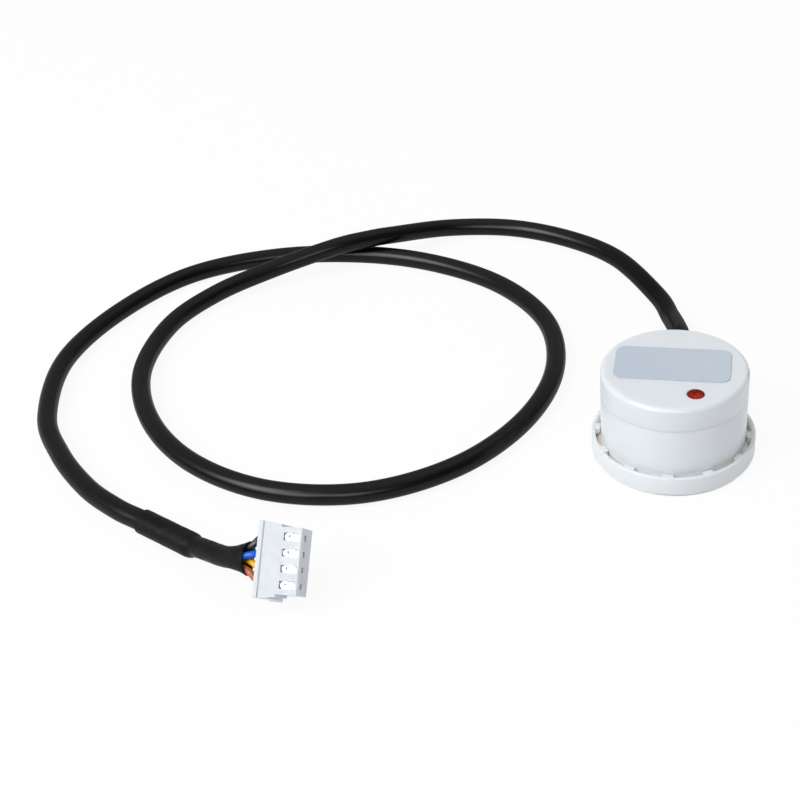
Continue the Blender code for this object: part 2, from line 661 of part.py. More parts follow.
def build_cable_grommet():
    """Rubber strain relief: inner flange, neck through the wall and a tapered boot outside."""
    bore = CABLE_RADIUS + HOLE_GAP
    start = CAVITY_RADIUS - GROMMET_FLANGE_THICKNESS
    reach = HEAD_RADIUS + GROMMET_REACH
    profile = [(bore, reach), (GROMMET_TIP_RADIUS, reach)]
    for number in range(RIB_COUNT):
        height = HEAD_RADIUS + RIB_FIRST + RIB_STEP * (RIB_COUNT - 1 - number)
        share = (reach - height) / (reach - HEAD_RADIUS)
        radius = GROMMET_TIP_RADIUS + (GROMMET_ROOT_RADIUS - GROMMET_TIP_RADIUS) * share
        profile += [
            (radius, height + RIB_GROOVE),
            (radius - RIB_DEPTH, height + RIB_GROOVE - RIB_SLOPE),
            (radius - RIB_DEPTH, height + RIB_SLOPE),
            (radius, height),
        ]
    profile += [
        (GROMMET_ROOT_RADIUS, HEAD_RADIUS),
        (GROMMET_FLANGE_RADIUS, CAVITY_RADIUS),
        (GROMMET_FLANGE_RADIUS, start),
        (bore, start),
    ]
    grommet = turned("cable_grommet", profile, RUBBER, SMALL_STEPS, closed=True)
    grommet.rotation_euler = (-0.5 * math.pi, 0.0, 0.0)
    grommet.location = (0.0, 0.0, EXIT_HEIGHT)

    inner = CAVITY_RADIUS - SEAT
    outer = HEAD_RADIUS + SEAT
    low = EXIT_HEIGHT - 2.0 * GROMMET_FLANGE_RADIUS
    high = EXIT_HEIGHT + 2.0 * GROMMET_FLANGE_RADIUS
    wall = turned("wall_cutter", [(inner, high), (outer, high), (outer, low), (inner, low)], None, closed=True)
    neck = cylinder("neck_keeper", GROMMET_NECK_RADIUS, 0.5 * HEAD_RADIUS, 1.5 * HEAD_RADIUS, None)
    neck.rotation_euler = (-0.5 * math.pi, 0.0, 0.0)
    neck.location = (0.0, 0.0, EXIT_HEIGHT)
    boolean(wall, neck, "DIFFERENCE")
    boolean(grommet, wall, "DIFFERENCE")
    return grommet


def cable_points():
    """The route in metres, its first points at the exit's height."""
    points = [Vector(point) * MILLIMETRE for point in CABLE_ROUTE]
    lift = EXIT_HEIGHT - points[0].z
    for point, share in zip(points, EXIT_SHARES):
        point.z += share * lift
    return points


def build_cable():
    fine = smooth_curve(cable_points(), CURVE_STEPS)
    return tube("cable", evenly_spaced(fine, CABLE_POINTS), CABLE_RADIUS, BLACK_PVC)


def core_offsets():
    """The four cores lie in a diamond: outer two on the y axis, middle two above and below."""
    return {"black": (1.0, 0.0), "blue": (0.0, 1.0), "yellow": (0.0, -1.0), "brown": (-1.0, 0.0)}


def build_leads():
    """Cores from the cable's inner end, bent down to their pads on the board."""
    start_y = CABLE_INNER_END - CORE_GAP
    pad_y = LEAD_PAD_Y
    middle_y = 0.5 * (start_y + pad_y)
    for number, (colour, (across, up)) in enumerate(core_offsets().items()):
        x = across * WIRE_BUNDLE_RADIUS
        z = EXIT_HEIGHT + up * WIRE_BUNDLE_RADIUS
        pad_x = (0.5 * (WAYS - 1) - number) * LEAD_PAD_STEP
        middle_z = 0.5 * (z + BOARD_PART_BASE)
        route = [
            Vector((x, start_y, z)),
            Vector((x, start_y - LEAD_STRAIGHT, z)),
            Vector((0.5 * (x + pad_x), middle_y, z - LEAD_BOW)),
            Vector((pad_x, pad_y + LEAD_BOW, middle_z + LEAD_BOW)),
            Vector((pad_x, pad_y, BOARD_PART_BASE + LEAD_KNEE)),
            Vector((pad_x, pad_y, BOARD_PART_BASE)),
        ]
        finish = ("wire_" + colour, WIRE_COLOURS[colour], 0.4, 0.0)
        tube("lead_" + colour, smooth_curve(route, LEAD_STEPS), WIRE_RADIUS, finish)


def housing_corners():
    """Outermost corners of the lip, the flange's far end, the nose and the key tab."""
    lip_y = HOUSING_HALF_WIDTH - 0.5 * HOUSING_EDGE
    lip_z = HOUSING_HALF_THICKNESS + LIP_PROUD
    flange_y = HOUSING_HALF_WIDTH - FLANGE_TAPER
    tab_y = HOUSING_HALF_WIDTH + TAB_PROUD
    corners = []
    for x, y, z in ((0.0, lip_y, lip_z), (LIP_LENGTH, lip_y, lip_z),
                    (FLANGE_LENGTH, flange_y, HOUSING_HALF_THICKNESS),
                    (HOUSING_LENGTH, NOSE_HALF_WIDTH, HOUSING_HALF_THICKNESS)):
        corners += [Vector((x, side * y, face * z)) for side in (-1, 1) for face in (-1, 1)]
    corners.append(Vector((FLANGE_LENGTH, -tab_y, -0.5 * TAB_HEIGHT)))
    corners.append(Vector((FLANGE_LENGTH - TAB_LENGTH, -tab_y, -0.5 * TAB_HEIGHT)))
    return corners


def housing_matrix():
    """Pose of the housing: it leans back and stands on its lowest corner."""
    turn = Euler([math.radians(angle) for angle in HOUSING_TURN], "XYZ").to_matrix().to_4x4()
    lowest = min((turn @ corner).z for corner in housing_corners())
    return Matrix.Translation((HOUSING_X, HOUSING_Y, FLOOR_GAP - lowest)) @ turn


def way_position(number):
    """Distance of a way from the housing's middle, the first way at the top."""
    return (0.5 * (WAYS - 1) - number) * PITCH


def build_housing(pose):
    """Flanged nylon body with four cavities, windows in its face and pin holes in its nose."""
    flange_size = (FLANGE_LENGTH, 2.0 * HOUSING_HALF_WIDTH, HOUSING_THICKNESS)
    flange = box_mesh("connector_housing", [(Vector((0.5 * FLANGE_LENGTH, 0.0, 0.0)), flange_size)])
    for corner in flange.vertices:
        if corner.co.x > 0.5 * FLANGE_LENGTH:
            corner.co.y -= math.copysign(FLANGE_TAPER, corner.co.y)
    housing = add_object("connector_housing", flange, NYLON)
    housing.matrix_world = pose
    round_edges(housing, HOUSING_EDGE)

    nose_start = 0.5 * FLANGE_LENGTH
    nose_z = 0.5 * (HOUSING_THICKNESS - NOSE_THICKNESS)
    nose = add_object("housing_nose", box_mesh("housing_nose", [(
        Vector((0.5 * (nose_start + HOUSING_LENGTH), 0.0, nose_z - 0.5 * HOUSING_EDGE)),
        (HOUSING_LENGTH - nose_start, 2.0 * NOSE_HALF_WIDTH, NOSE_THICKNESS - HOUSING_EDGE))]), None)
    round_edges(nose, HOUSING_EDGE)
    trim = add_object("housing_trim", box_mesh("housing_trim", [
        (Vector((0.5 * LIP_LENGTH, 0.0, 0.0)),
         (LIP_LENGTH, 2.0 * HOUSING_HALF_WIDTH - HOUSING_EDGE, HOUSING_THICKNESS + 2.0 * LIP_PROUD))]), None)
    round_edges(trim, HOUSING_EDGE)
    tab = add_object("housing_tab", box_mesh("housing_tab", [
        (Vector((FLANGE_LENGTH - 0.5 * TAB_LENGTH, 0.5 * FLANGE_TAPER - HOUSING_HALF_WIDTH, 0.0)),
         (TAB_LENGTH, FLANGE_TAPER + 2.0 * TAB_PROUD, TAB_HEIGHT))]), None)

    cavities = []
    windows = []
    pin_holes = []
    cavity_end = HOUSING_LENGTH - END_BRIDGE
    cavity_start = -HOUSING_LENGTH
    for number in range(WAYS):
        y = way_position(number)
        cavities.append((Vector((0.5 * (cavity_start + cavity_end), y, WAY_RISE)),
                         (cavity_end - cavity_start, CAVITY_WIDTH, CAVITY_DEPTH)))
        windows.append((Vector((cavity_end - 0.5 * WINDOW_LENGTH, y, HOUSING_HALF_THICKNESS)),
                        (WINDOW_LENGTH, WINDOW_WIDTH, 2.0 * (HOUSING_HALF_THICKNESS - WAY_RISE))))
        pin_holes.append((Vector((HOUSING_LENGTH, y, WAY_RISE)), (HOUSING_LENGTH, PIN_HOLE, PIN_HOLE)))
    for part in (nose, trim, tab):
        part.matrix_world = pose
        boolean(housing, part, "UNION")
    for name, boxes in (("cavities", cavities), ("windows", windows), ("pin_holes", pin_holes)):
        cutter = add_object(name, box_mesh(name, boxes), None)
        cutter.matrix_world = pose
        boolean(housing, cutter, "DIFFERENCE")
    return housing


def terminal_mesh():
    """Folded tin terminal: hollow box with a lance, a floor strip and a round insulation crimp."""
    front = HOUSING_LENGTH - END_BRIDGE - TERMINAL_END_GAP
    back = front - TERMINAL_BOX_LENGTH
    crimp_end = CRIMP_START + CRIMP_LENGTH
    inner = WIRE_RADIUS + SEAT
    outer = inner + CRIMP_WALL

    body = add_object("terminal_shape", box_mesh("terminal_shape", [
        (Vector((0.5 * (front + back), 0.0, 0.0)),
         (TERMINAL_BOX_LENGTH, TERMINAL_BOX_WIDTH, TERMINAL_BOX_HEIGHT))]), None)
    strip = add_object("terminal_strip", box_mesh("terminal_strip", [
        (Vector((0.5 * (CRIMP_START + back + TERMINAL_WALL), 0.0, -0.5 * (outer + inner))),
         (back + TERMINAL_WALL - CRIMP_START, STRIP_WIDTH, CRIMP_WALL))]), None)
    low_floor = add_object("terminal_heel", box_mesh("terminal_heel", [
        (Vector((back, 0.0, -0.25 * (TERMINAL_BOX_HEIGHT + outer + inner))),
         (2.0 * TERMINAL_WALL, STRIP_WIDTH, 0.5 * TERMINAL_BOX_HEIGHT - 0.5 * outer))]), None)
    crimp_section = [(inner, crimp_end), (outer, crimp_end), (outer, CRIMP_START), (inner, CRIMP_START)]
    crimp = turned("terminal_crimp", crimp_section, None, CRIMP_STEPS, True)
    crimp.rotation_euler = (0.0, 0.5 * math.pi, 0.0)
    bore = add_object("terminal_bore", box_mesh("terminal_bore", [
        (Vector((front, 0.0, 0.0)),
         (2.0 * (TERMINAL_BOX_LENGTH - TERMINAL_WALL), TERMINAL_BOX_WIDTH - 2.0 * TERMINAL_WALL,
          TERMINAL_BOX_HEIGHT - 2.0 * TERMINAL_WALL))]), None)
    window_start = HOUSING_LENGTH - END_BRIDGE - WINDOW_LENGTH
    lance_middle = window_start + SEAT + 0.5 * LANCE_LENGTH
    lance = add_object("terminal_lance", box_mesh("terminal_lance", [
        (Vector((lance_middle, 0.0, 0.5 * TERMINAL_BOX_HEIGHT)),
         (LANCE_LENGTH, 0.5 * TERMINAL_BOX_WIDTH, 2.0 * LANCE_RISE))]), None)
    for part in (strip, low_floor, crimp, lance):
        boolean(body, part, "UNION")
    boolean(body, bore, "DIFFERENCE")
    bpy.context.view_layer.update()
    evaluated = body.evaluated_get(bpy.context.evaluated_depsgraph_get())
    mesh = bpy.data.meshes.new_from_object(evaluated)
    mesh.name = "terminal"
    for part in (body, strip, low_floor, crimp, bore, lance):
        bpy.data.objects.remove(part, do_unlink=True)
    mesh.materials.clear()
    mesh.materials.append(material(TIN))
    return mesh


def build_terminals(pose):
    mesh = terminal_mesh()
    for number in range(WAYS):
        item = bpy.data.objects.new("terminal_%d" % (number + 1), mesh)
        PARTS.objects.link(item)
        item.matrix_world = pose @ Matrix.Translation((0.0, way_position(number), WAY_RISE))


def tail_line(pose):
    """Centre line of the wires: jacket's end, sleeve's mouth, housing's back face, crimps."""
    route = cable_points()
    end = route[-1]
    mouth = pose @ Vector((-SLEEVE_TO_HOUSING, 0.0, WAY_RISE))
    bend = end.lerp(mouth, SLEEVE_SHARE) + Vector((0.0, -SLEEVE_SAG, -SLEEVE_SAG))
    entry = pose @ Vector((0.0, 0.0, WAY_RISE))
    inside = pose @ Vector((CRIMP_START + WIRE_IN_CRIMP * CRIMP_LENGTH, 0.0, WAY_RISE))
    return smooth_curve([end, end.lerp(bend, 0.5), bend, mouth, entry, inside], TAIL_STEPS)


def frame_along(line, pose):
    """Place, y axis and z axis at each point of a line, y following the housing's row of ways."""
    across = (pose.to_3x3() @ Vector((0.0, 1.0, 0.0))).normalized()
    frames = []
    for index, place in enumerate(line):
        ahead = line[min(index + 1, len(line) - 1)]
        behind = line[max(index - 1, 0)]
        tangent = (ahead - behind).normalized()
        y_axis = (across - tangent * across.dot(tangent)).normalized()
        frames.append((place, y_axis, tangent.cross(y_axis)))
    return frames


def spread_at(index):
    """How far the wires have spread from their bundle to the housing's pitch, 0 to 1."""
    share = index / (TAIL_SPANS * TAIL_STEPS)
    t = min(max((share - SPREAD_BEGIN) / (SPREAD_END - SPREAD_BEGIN), 0.0), 1.0)
    return t * t * (3.0 - 2.0 * t)


def build_wires(pose):
    line = tail_line(pose)
    frames = frame_along(line, pose)
    gap = (line[1] - line[0]).normalized() * CORE_GAP
    for number, (colour, (across, up)) in enumerate(core_offsets().items()):
        points = []
        for index, (place, y_axis, z_axis) in enumerate(frames):
            spread = spread_at(index)
            y = across * WIRE_BUNDLE_RADIUS * (1.0 - spread) + way_position(number) * spread
            z = up * WIRE_BUNDLE_RADIUS * (1.0 - spread)
            start = gap if index == 0 else Vector((0.0, 0.0, 0.0))
            points.append(place + start + y_axis * y + z_axis * z)
        finish = ("wire_" + colour, WIRE_COLOURS[colour], 0.4, 0.0)
        tube("wire_" + colour, points, WIRE_RADIUS, finish)


def sleeve_sections(pose):
    """Stations of the shrunk tube with their bore's half width and half height."""
    tail = tail_line(pose)
    end = tail[0]
    along = (cable_points()[-1] - cable_points()[-2]).normalized()
    on_jacket = CABLE_RADIUS + SLEEVE_FIT
    on_wires = WIRE_BUNDLE_RADIUS + WIRE_RADIUS + SLEEVE_FIT
    sections = []
    for number in range(JACKET_STATIONS + 1):
        place = end - along * (SLEEVE_OVERLAP * (1.0 - number / JACKET_STATIONS))
        sections.append((place, on_jacket, on_jacket))
    shoulder = on_wires + SHOULDER_SHARE * (on_jacket - on_wires)
    sections.append((end + along * SLEEVE_SHOULDER, shoulder, shoulder))
    for index in range(SHOULDER_STATION, MOUTH_SPAN * TAIL_STEPS + 1):
        spread = spread_at(index)
        half_y = on_wires * (1.0 - spread) + spread * (way_position(0) + WIRE_RADIUS + SLEEVE_FIT)
        half_z = on_wires * (1.0 - spread) + spread * (WIRE_RADIUS + SLEEVE_FIT)
        sections.append((tail[index], half_y, half_z))
    return sections


def build_heat_shrink(pose):
    """Loft of a shrunk tube: wide on the jacket, narrow on the wires, oval and flared at the mouth."""
    sections = sleeve_sections(pose)
    frames = frame_along([section[0] for section in sections], pose)
    layers = []
    for wall in (SLEEVE_WALL, 0.0):
        layer = []
        for (place, y_axis, z_axis), (_, half_y, half_z) in zip(frames, sections):
            ring = []
            for number in range(SMALL_STEPS):
                angle = 2.0 * math.pi * number / SMALL_STEPS
                ring.append(place + y_axis * ((half_y + wall) * math.cos(angle))
                            + z_axis * ((half_z + wall) * math.sin(angle)))
            layer.append(ring)
        layers.append(layer)

    bm = bmesh.new()
    grid = [[bm.verts.new(place) for place in ring] for ring in layers[0] + layers[1][::-1]]
    for index, upper in enumerate(grid):
        lower = grid[(index + 1) % len(grid)]
        for number in range(SMALL_STEPS):
            after = (number + 1) % SMALL_STEPS
            bm.faces.new((upper[number], upper[after], lower[after], lower[number]))
    bmesh.ops.recalc_face_normals(bm, faces=bm.faces)
    return add_object("heat_shrink", mesh_from("heat_shrink", bm), SHRINK)


def main():
    build_adhesive_pad()
    build_mounting_ring()
    build_sensor_cup()
    build_top_cover()
    build_label()
    build_status_led()
    build_circuit_board()
    build_sensing_electrode()
    build_potting_resin()
    build_board_parts()
    build_smoothing_capacitor()
    build_cable_grommet()
    build_cable()
    build_leads()
    pose = housing_matrix()
    build_housing(pose)
    build_terminals(pose)
    build_wires(pose)
    build_heat_shrink(pose)


main()
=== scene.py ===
import math

import bmesh
import bpy
from mathutils import Euler, Matrix, Vector, noise


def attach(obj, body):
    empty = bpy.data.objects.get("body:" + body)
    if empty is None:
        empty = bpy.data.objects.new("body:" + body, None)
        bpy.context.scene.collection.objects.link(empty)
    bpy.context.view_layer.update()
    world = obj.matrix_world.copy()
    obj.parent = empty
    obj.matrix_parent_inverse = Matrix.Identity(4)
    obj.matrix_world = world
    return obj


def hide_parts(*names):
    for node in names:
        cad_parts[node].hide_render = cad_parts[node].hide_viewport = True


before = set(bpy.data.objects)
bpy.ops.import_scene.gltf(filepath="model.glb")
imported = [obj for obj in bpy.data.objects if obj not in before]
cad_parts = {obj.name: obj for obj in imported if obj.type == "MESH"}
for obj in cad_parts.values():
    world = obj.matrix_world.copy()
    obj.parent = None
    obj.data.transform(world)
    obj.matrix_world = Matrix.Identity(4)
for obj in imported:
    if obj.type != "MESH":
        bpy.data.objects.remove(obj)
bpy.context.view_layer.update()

MM = 0.001

# Head
HEAD_R = 12.45 * MM
FOOT_R = 12.40 * MM
HEAD_TOP = 17.0 * MM
SEAM = 12.5 * MM
SEAM_GAP = 0.004 * MM
SEAM_EDGE = 0.018 * MM
CAVITY_R = 11.1 * MM
RIM = 0.9 * MM
SNUG = 0.05 * MM
LAMP_SPOT = (3.9 * MM, -7.5 * MM)
LAMP_R = 1.41 * MM
LAMP_DOME = 0.36 * MM
LAMP_HOLE_R = 1.47 * MM
LABEL_SIZE = (19.4 * MM, 9.7 * MM)
LABEL_SPOT = (-0.4 * MM, 0.9 * MM)
LABEL_CORNER = 1.6 * MM

# Ring
RING_R = 14.0 * MM
RING_BORE = 13.3 * MM
RING_TOP = 4.0 * MM
RING_FOOT = 0.65 * MM
LUG_COUNT = 12
HEAD_STEPS = 192

# Cable
CABLE_R = 1.85 * MM
EXIT_Z = 8.4 * MM
ROUTE = (
    (0.0, 9.0, 8.4), (0.0, 14.5, 8.4), (0.0, 20.0, 8.4), (-0.3, 24.5, 7.7),
    (-1.2, 30.5, 5.7), (-2.8, 37.9, 3.4), (-6.0, 47.8, 2.0), (-15.2, 62.1, 1.9),
    (-26.3, 70.0, 1.9), (-39.4, 74.0, 2.0), (-52.8, 71.9, 2.8), (-63.4, 63.6, 5.3),
    (-68.5, 60.0, 6.0), (-74.8, 56.1, 6.0), (-87.0, 50.1, 3.7), (-97.3, 41.5, 2.3),
    (-103.3, 29.1, 1.9), (-103.1, 12.1, 1.9), (-95.8, -3.4, 1.9), (-83.5, -15.2, 1.9),
    (-67.6, -21.4, 1.9), (-50.6, -20.2, 1.9), (-36.1, -11.3, 1.9), (-26.6, 2.9, 1.9),
    (-23.1, 19.6, 1.9), (-26.7, 36.2, 1.9), (-37.5, 49.4, 1.9), (-52.6, 57.5, 1.9),
    (-69.4, 60.6, 1.9), (-88.5, 58.4, 1.9), (-105.5, 49.6, 1.9), (-116.0, 33.6, 1.9),
    (-120.5, 15.0, 1.9), (-116.5, -3.7, 1.9), (-109.1, -15.1, 1.9), (-100.3, -24.0, 1.9),
    (-92.6, -29.3, 2.1), (-87.2, -31.9, 2.15), (-81.8, -34.5, 2.15), (-76.4, -37.1, 2.15),
)

# Sleeve, wires and plug
SLEEVE_OVERLAP = 11.2 * MM
SLEEVE_WALL = 0.24 * MM
SLEEVE_FIT = 0.12 * MM
SLEEVE_TO_PLUG = 2.0 * MM
WIRE_R = 0.57 * MM
BUNDLE_R = 0.85 * MM
WAYS = 4
HALF_ROW = 0.5 * (WAYS - 1)
PITCH = 2.5 * MM
PLUG_HALF = 6.1 * MM
PLUG_THICK = 5.75 * MM
PLUG_LENGTH = 7.1 * MM
PLUG_TURN = (45.2, -2.0, -2.0)
PLUG_SPOT = (-61.24 * MM, -44.25 * MM)
FLANGE = 3.7 * MM
FLANGE_TAPER = 0.45 * MM
NOSE_HALF = PLUG_HALF - 0.85 * MM
LIP = 0.7 * MM
LIP_PROUD = 0.25 * MM
TAB = 1.6 * MM
TAB_WIDE = 2.0 * MM
TAB_PROUD = 0.3 * MM
WAY_RISE = 0.9 * MM
WINDOW = 2.6 * MM
FRONT_WALL = 0.35 * MM
PLUG_EDGE = 0.15 * MM
PLUG_LIFT = 0.1 * MM
CORES = (("black", 1.0, 0.0), ("blue", 0.0, 1.0), ("yellow", 0.0, -1.0), ("brown", -1.0, 0.0))

CREASE = 32.0
EXIT = Matrix.Translation((0.0, 0.0, EXIT_Z)) @ Matrix.Rotation(-0.5 * math.pi, 4, "X")


# Shader expressions

SMOOTH = {"interpolation_type": "SMOOTHSTEP"}


class Link:
    """A node's output with arithmetic: an expression on links adds its Math nodes."""

    def __init__(self, tree, socket):
        self.tree = tree
        self.socket = socket

    def maths(self, operation, *values, clamp=False):
        settings = {"operation": operation, "use_clamp": clamp}
        return self.tree.node("ShaderNodeMath", settings, *values)

    def __add__(self, other):
        return self.maths("ADD", self, other)

    __radd__ = __add__

    def __sub__(self, other):
        return self.maths("SUBTRACT", self, other)

    def __rsub__(self, other):
        return self.maths("SUBTRACT", other, self)

    def __mul__(self, other):
        return self.maths("MULTIPLY", self, other)

    __rmul__ = __mul__

    def __truediv__(self, other):
        return self.maths("DIVIDE", self, other)

    def sine(self):
        return self.maths("SINE", self)

    def clamped(self):
        return self.maths("ADD", self, 0.0, clamp=True)


class Tree:
    """Any node tree: node() makes any node and returns one output, or all of them by name."""

    def __init__(self, tree):
        self.tree = tree

    def put(self, socket, value):
        if isinstance(value, Link):
            self.tree.links.new(value.socket, socket)
        elif hasattr(value, "__len__") and socket.type == "RGBA" and len(value) == 3:
            socket.default_value = (*value, 1.0)
        else:
            socket.default_value = value

    def node(self, kind, settings=None, *values, out=0, **named):
        made = self.tree.nodes.new(kind)
        for key, value in (settings or {}).items():
            setattr(made, key, value)
        for socket, value in zip(made.inputs, values):
            if value is not None:
                self.put(socket, value)
        for key, value in named.items():
            self.put(made.inputs[key.replace("_", " ")], value)
        if out is None:
            return {socket.name: Link(self, socket) for socket in made.outputs}
        return Link(self, made.outputs[out]) if len(made.outputs) else made

    def parts(self, vector):
        return self.node("ShaderNodeSeparateXYZ", None, vector, out=None).values()


class Shade(Tree):
    """A material being written on its Principled shader."""

    def __init__(self, name, colour, roughness, metallic=0.0, coat=0.0):
        self.material = bpy.data.materials.new(name)
        self.material.use_nodes = True
        super().__init__(self.material.node_tree)
        self.surface = self.tree.nodes["Principled BSDF"]
        self.set("Base Color", colour)
        self.set("Roughness", roughness)
        self.set("Metallic", metallic)
        self.set("Coat Weight", coat)
        self.material.diffuse_color = (*colour, 1.0)

    def set(self, name, value):
        self.put(self.surface.inputs[name], value)

    def place(self):
        return self.node("ShaderNodeTexCoord", out="Object")

    def mapped(self, scale, location=(0.0, 0.0, 0.0)):
        return self.node("ShaderNodeMapping", None, self.place(), Scale=scale, Location=location)

    def on_cord(self):
        """A cord's surface map: metres along it and turns around it."""
        along, around, _ = self.parts(self.node("ShaderNodeUVMap", {"uv_map": "UVMap"}))
        return along, around

    def drawn_from(self, along, around):
        """Noise place on a cord, stretched along its length."""
        u, v = self.on_cord()
        return self.node("ShaderNodeCombineXYZ", None, u * along, v * around, 0.0)

    def span(self, vector):
        return self.node("ShaderNodeVectorMath", {"operation": "LENGTH"}, vector, out="Value")

    def grain(self, scale, detail=3.0, roughness=0.5, source=None, distortion=0.0):
        return self.node("ShaderNodeTexNoise", None, Vector=source or self.place(), Scale=scale,
                         Detail=detail, Roughness=roughness, Distortion=distortion)

    def between(self, value, low, high):
        """Smooth step from 0 at low to 1 at high."""
        return self.node("ShaderNodeMapRange", SMOOTH, value, low, high, 0.0, 1.0)

    def blend(self, amount, first, second):
        settings = {"data_type": "RGBA"}
        unused = [None] * 5
        return self.node("ShaderNodeMix", settings, amount, *unused, first, second, out=2)

    def tint(self, amount, first, second):
        """Colour the surface between two tones."""
        self.set("Base Color", self.blend(amount, first, second))

    def relief(self, *layers):
        """Bumps over one another, each a height, its depth in microns and its strength."""
        below = {}
        for height, microns, strength in layers:
            bump = self.node("ShaderNodeBump", None, Height=height, Strength=strength,
                             Distance=0.001 * MM * microns, **below)
            below = {"Normal": bump}
        self.set("Normal", bump)

    def translucent(self, weight, radius):
        self.set("Subsurface Weight", weight)
        self.set("Subsurface Radius", radius)
        self.set("Subsurface Scale", 1.0)


def moulded_white(name, colour, roughness, top):
    """White moulding: eroded grain, tone drift, handling shine, dust, and painted bounce light in
    the ring's gap.
    """
    shade = Shade(name, colour, roughness)
    drift = shade.grain(90.0, 2.0)
    speck = shade.between(shade.grain(1500.0, 2.0, 0.6), 0.70, 0.80)
    rub = shade.between(shade.grain(240.0, 4.0, 0.6, distortion=0.6), 0.42, 0.72)
    dusky = [channel * factor for channel, factor in zip(colour, (0.965, 0.965, 0.972))]
    toned = shade.blend(shade.between(drift, 0.35, 0.70), colour, dusky)
    x, _, z = shade.parts(shade.place())
    reach = shade.span(shade.mapped((1.0, 1.0, 0.0)))
    # Painted bounce light: below the ring's top and within its bore, the walls are painted lighter,
    # warmer at the sides and neutral at front and back.
    below = 1.0 - shade.between(z, top - 0.6 * MM, top)
    inside = 1.0 - shade.between(reach, RING_BORE + 0.05 * MM, RING_BORE + 0.15 * MM)
    sideways = shade.between(x * x, 0.00005, 0.00012)
    gap_bounce_light = shade.blend(sideways, (0.95, 0.955, 0.96), (0.97, 0.94, 0.87))
    toned_with_gap_light = shade.blend(below * inside * 0.85, toned, gap_bounce_light)
    shade.tint(speck * 0.06, toned_with_gap_light, (0.50, 0.47, 0.43))
    shade.set("Roughness", roughness + 0.10 * (rub - 0.5) + 0.05 * (drift - 0.5))
    shade.translucent(0.30, (0.0012, 0.0011, 0.0009))
    eroded = shade.grain(9000.0, 2.0, 0.6)
    sink = shade.grain(160.0, 1.0)
    shade.relief((sink, 80.0, 0.35), (eroded, 10.0, 0.45))
    return shade.material


def extruded_pvc():
    """Black jacket under a thin gloss, duller near the head: drawn lines, ripple, scuffs, dust."""
    shade = Shade("black_jacket", (0.003, 0.003, 0.0033), 0.28, 0.0, 0.36)
    shade.set("Specular IOR Level", 0.0)
    shade.set("Coat Roughness", 0.28)
    lines = shade.grain(1.0, 2.0, 0.5, shade.drawn_from(14.0, 46.0))
    u, v = shade.on_cord()
    ripple = (math.tau * (v * 2.0 + u * 24.0)).sine()
    scuff = shade.between(shade.grain(420.0, 5.0, 0.62, distortion=0.9), 0.60, 0.74)
    dust = shade.between(shade.grain(2600.0, 2.0, 0.6), 0.74, 0.80)
    ink = shade.blend(scuff * 0.5, (0.0026, 0.0030, 0.0034), (0.0070, 0.0076, 0.0084))
    shade.tint(dust * 0.10, ink, (0.16, 0.155, 0.15))
    shade.set("Roughness", 0.17 + 0.08 * lines + 0.12 * scuff)
    polished = 0.4 + 0.6 * shade.between(u, 0.03, 0.08)
    shade.set("Coat Weight", (0.36 + 0.10 * lines - 0.16 * scuff) * polished)
    fine = shade.grain(5200.0, 2.0)
    shade.relief((lines, 30.0, 0.30), (ripple, 20.0, 0.20), (fine, 8.0, 0.30))
    return shade.material


def shrunk_tube():
    """Matte black shrunk tube: chalky haze, fine crinkle and rubbed ridges."""
    shade = Shade("shrunk_tube", (0.005, 0.005, 0.0055), 0.5)
    shade.set("Specular IOR Level", 0.10)
    crinkle = shade.grain(900.0, 4.0, 0.6, distortion=0.4)
    haze = shade.between(shade.grain(260.0, 3.0, 0.6), 0.40, 0.75)
    fleck = shade.between(shade.grain(3200.0, 2.0), 0.74, 0.80)
    tone = shade.blend(haze, (0.004, 0.004, 0.0044), (0.008, 0.008, 0.0084))
    shade.tint(fleck * 0.12, tone, (0.14, 0.135, 0.13))
    shade.set("Roughness", 0.40 + 0.18 * haze)
    shade.relief((crinkle, 60.0, 0.4), (shade.grain(7000.0, 2.0), 10.0, 0.5))
    return shade.material


def rubber_boot():
    """Dull black rubber with bloom."""
    shade = Shade("boot_rubber", (0.010, 0.010, 0.010), 0.6)
    shade.set("Specular IOR Level", 0.02)
    bloom = shade.between(shade.grain(500.0, 4.0, 0.6), 0.45, 0.75)
    shade.tint(bloom, (0.010, 0.010, 0.010), (0.018, 0.0175, 0.0175))
    shade.set("Roughness", 0.50 + 0.22 * bloom)
    shade.relief((shade.grain(4200.0, 3.0), 20.0, 0.5))
    return shade.material


def moulded_nylon():
    """Bluish translucent white nylon with flow marks and a little grime."""
    shade = Shade("plug_nylon", (0.70, 0.735, 0.79), 0.45)
    shade.set("Specular IOR Level", 0.30)
    flow = shade.grain(320.0, 4.0, 0.55, distortion=1.4)
    cloud = shade.between(flow, 0.35, 0.70)
    grime = shade.between(shade.grain(1900.0, 2.0), 0.70, 0.80)
    tone = shade.blend(cloud, (0.71, 0.745, 0.80), (0.68, 0.715, 0.77))
    shade.tint(grime * 0.12, tone, (0.48, 0.46, 0.44))
    shade.set("Roughness", 0.48 + 0.12 * cloud)
    shade.relief((flow, 40.0, 0.3), (shade.grain(6000.0, 2.0), 8.0, 0.4))
    shade.translucent(0.35, (0.0011, 0.0012, 0.0014))
    return shade.material


def tinned_metal():
    """Tinned strip: rolled lines, soft bloom and a few dull spots."""
    shade = Shade("tinned_strip", (0.86, 0.86, 0.85), 0.24, 1.0)
    rolled = shade.grain(1.0, 3.0, 0.6, shade.mapped((900.0, 9000.0, 9000.0)))
    bloom = shade.between(shade.grain(2400.0, 3.0), 0.45, 0.75)
    shade.tint(bloom, (0.90, 0.90, 0.89), (0.74, 0.73, 0.71))
    shade.set("Roughness", 0.16 + 0.16 * rolled + 0.10 * bloom)
    shade.relief((rolled, 6.0, 0.4))
    return shade.material


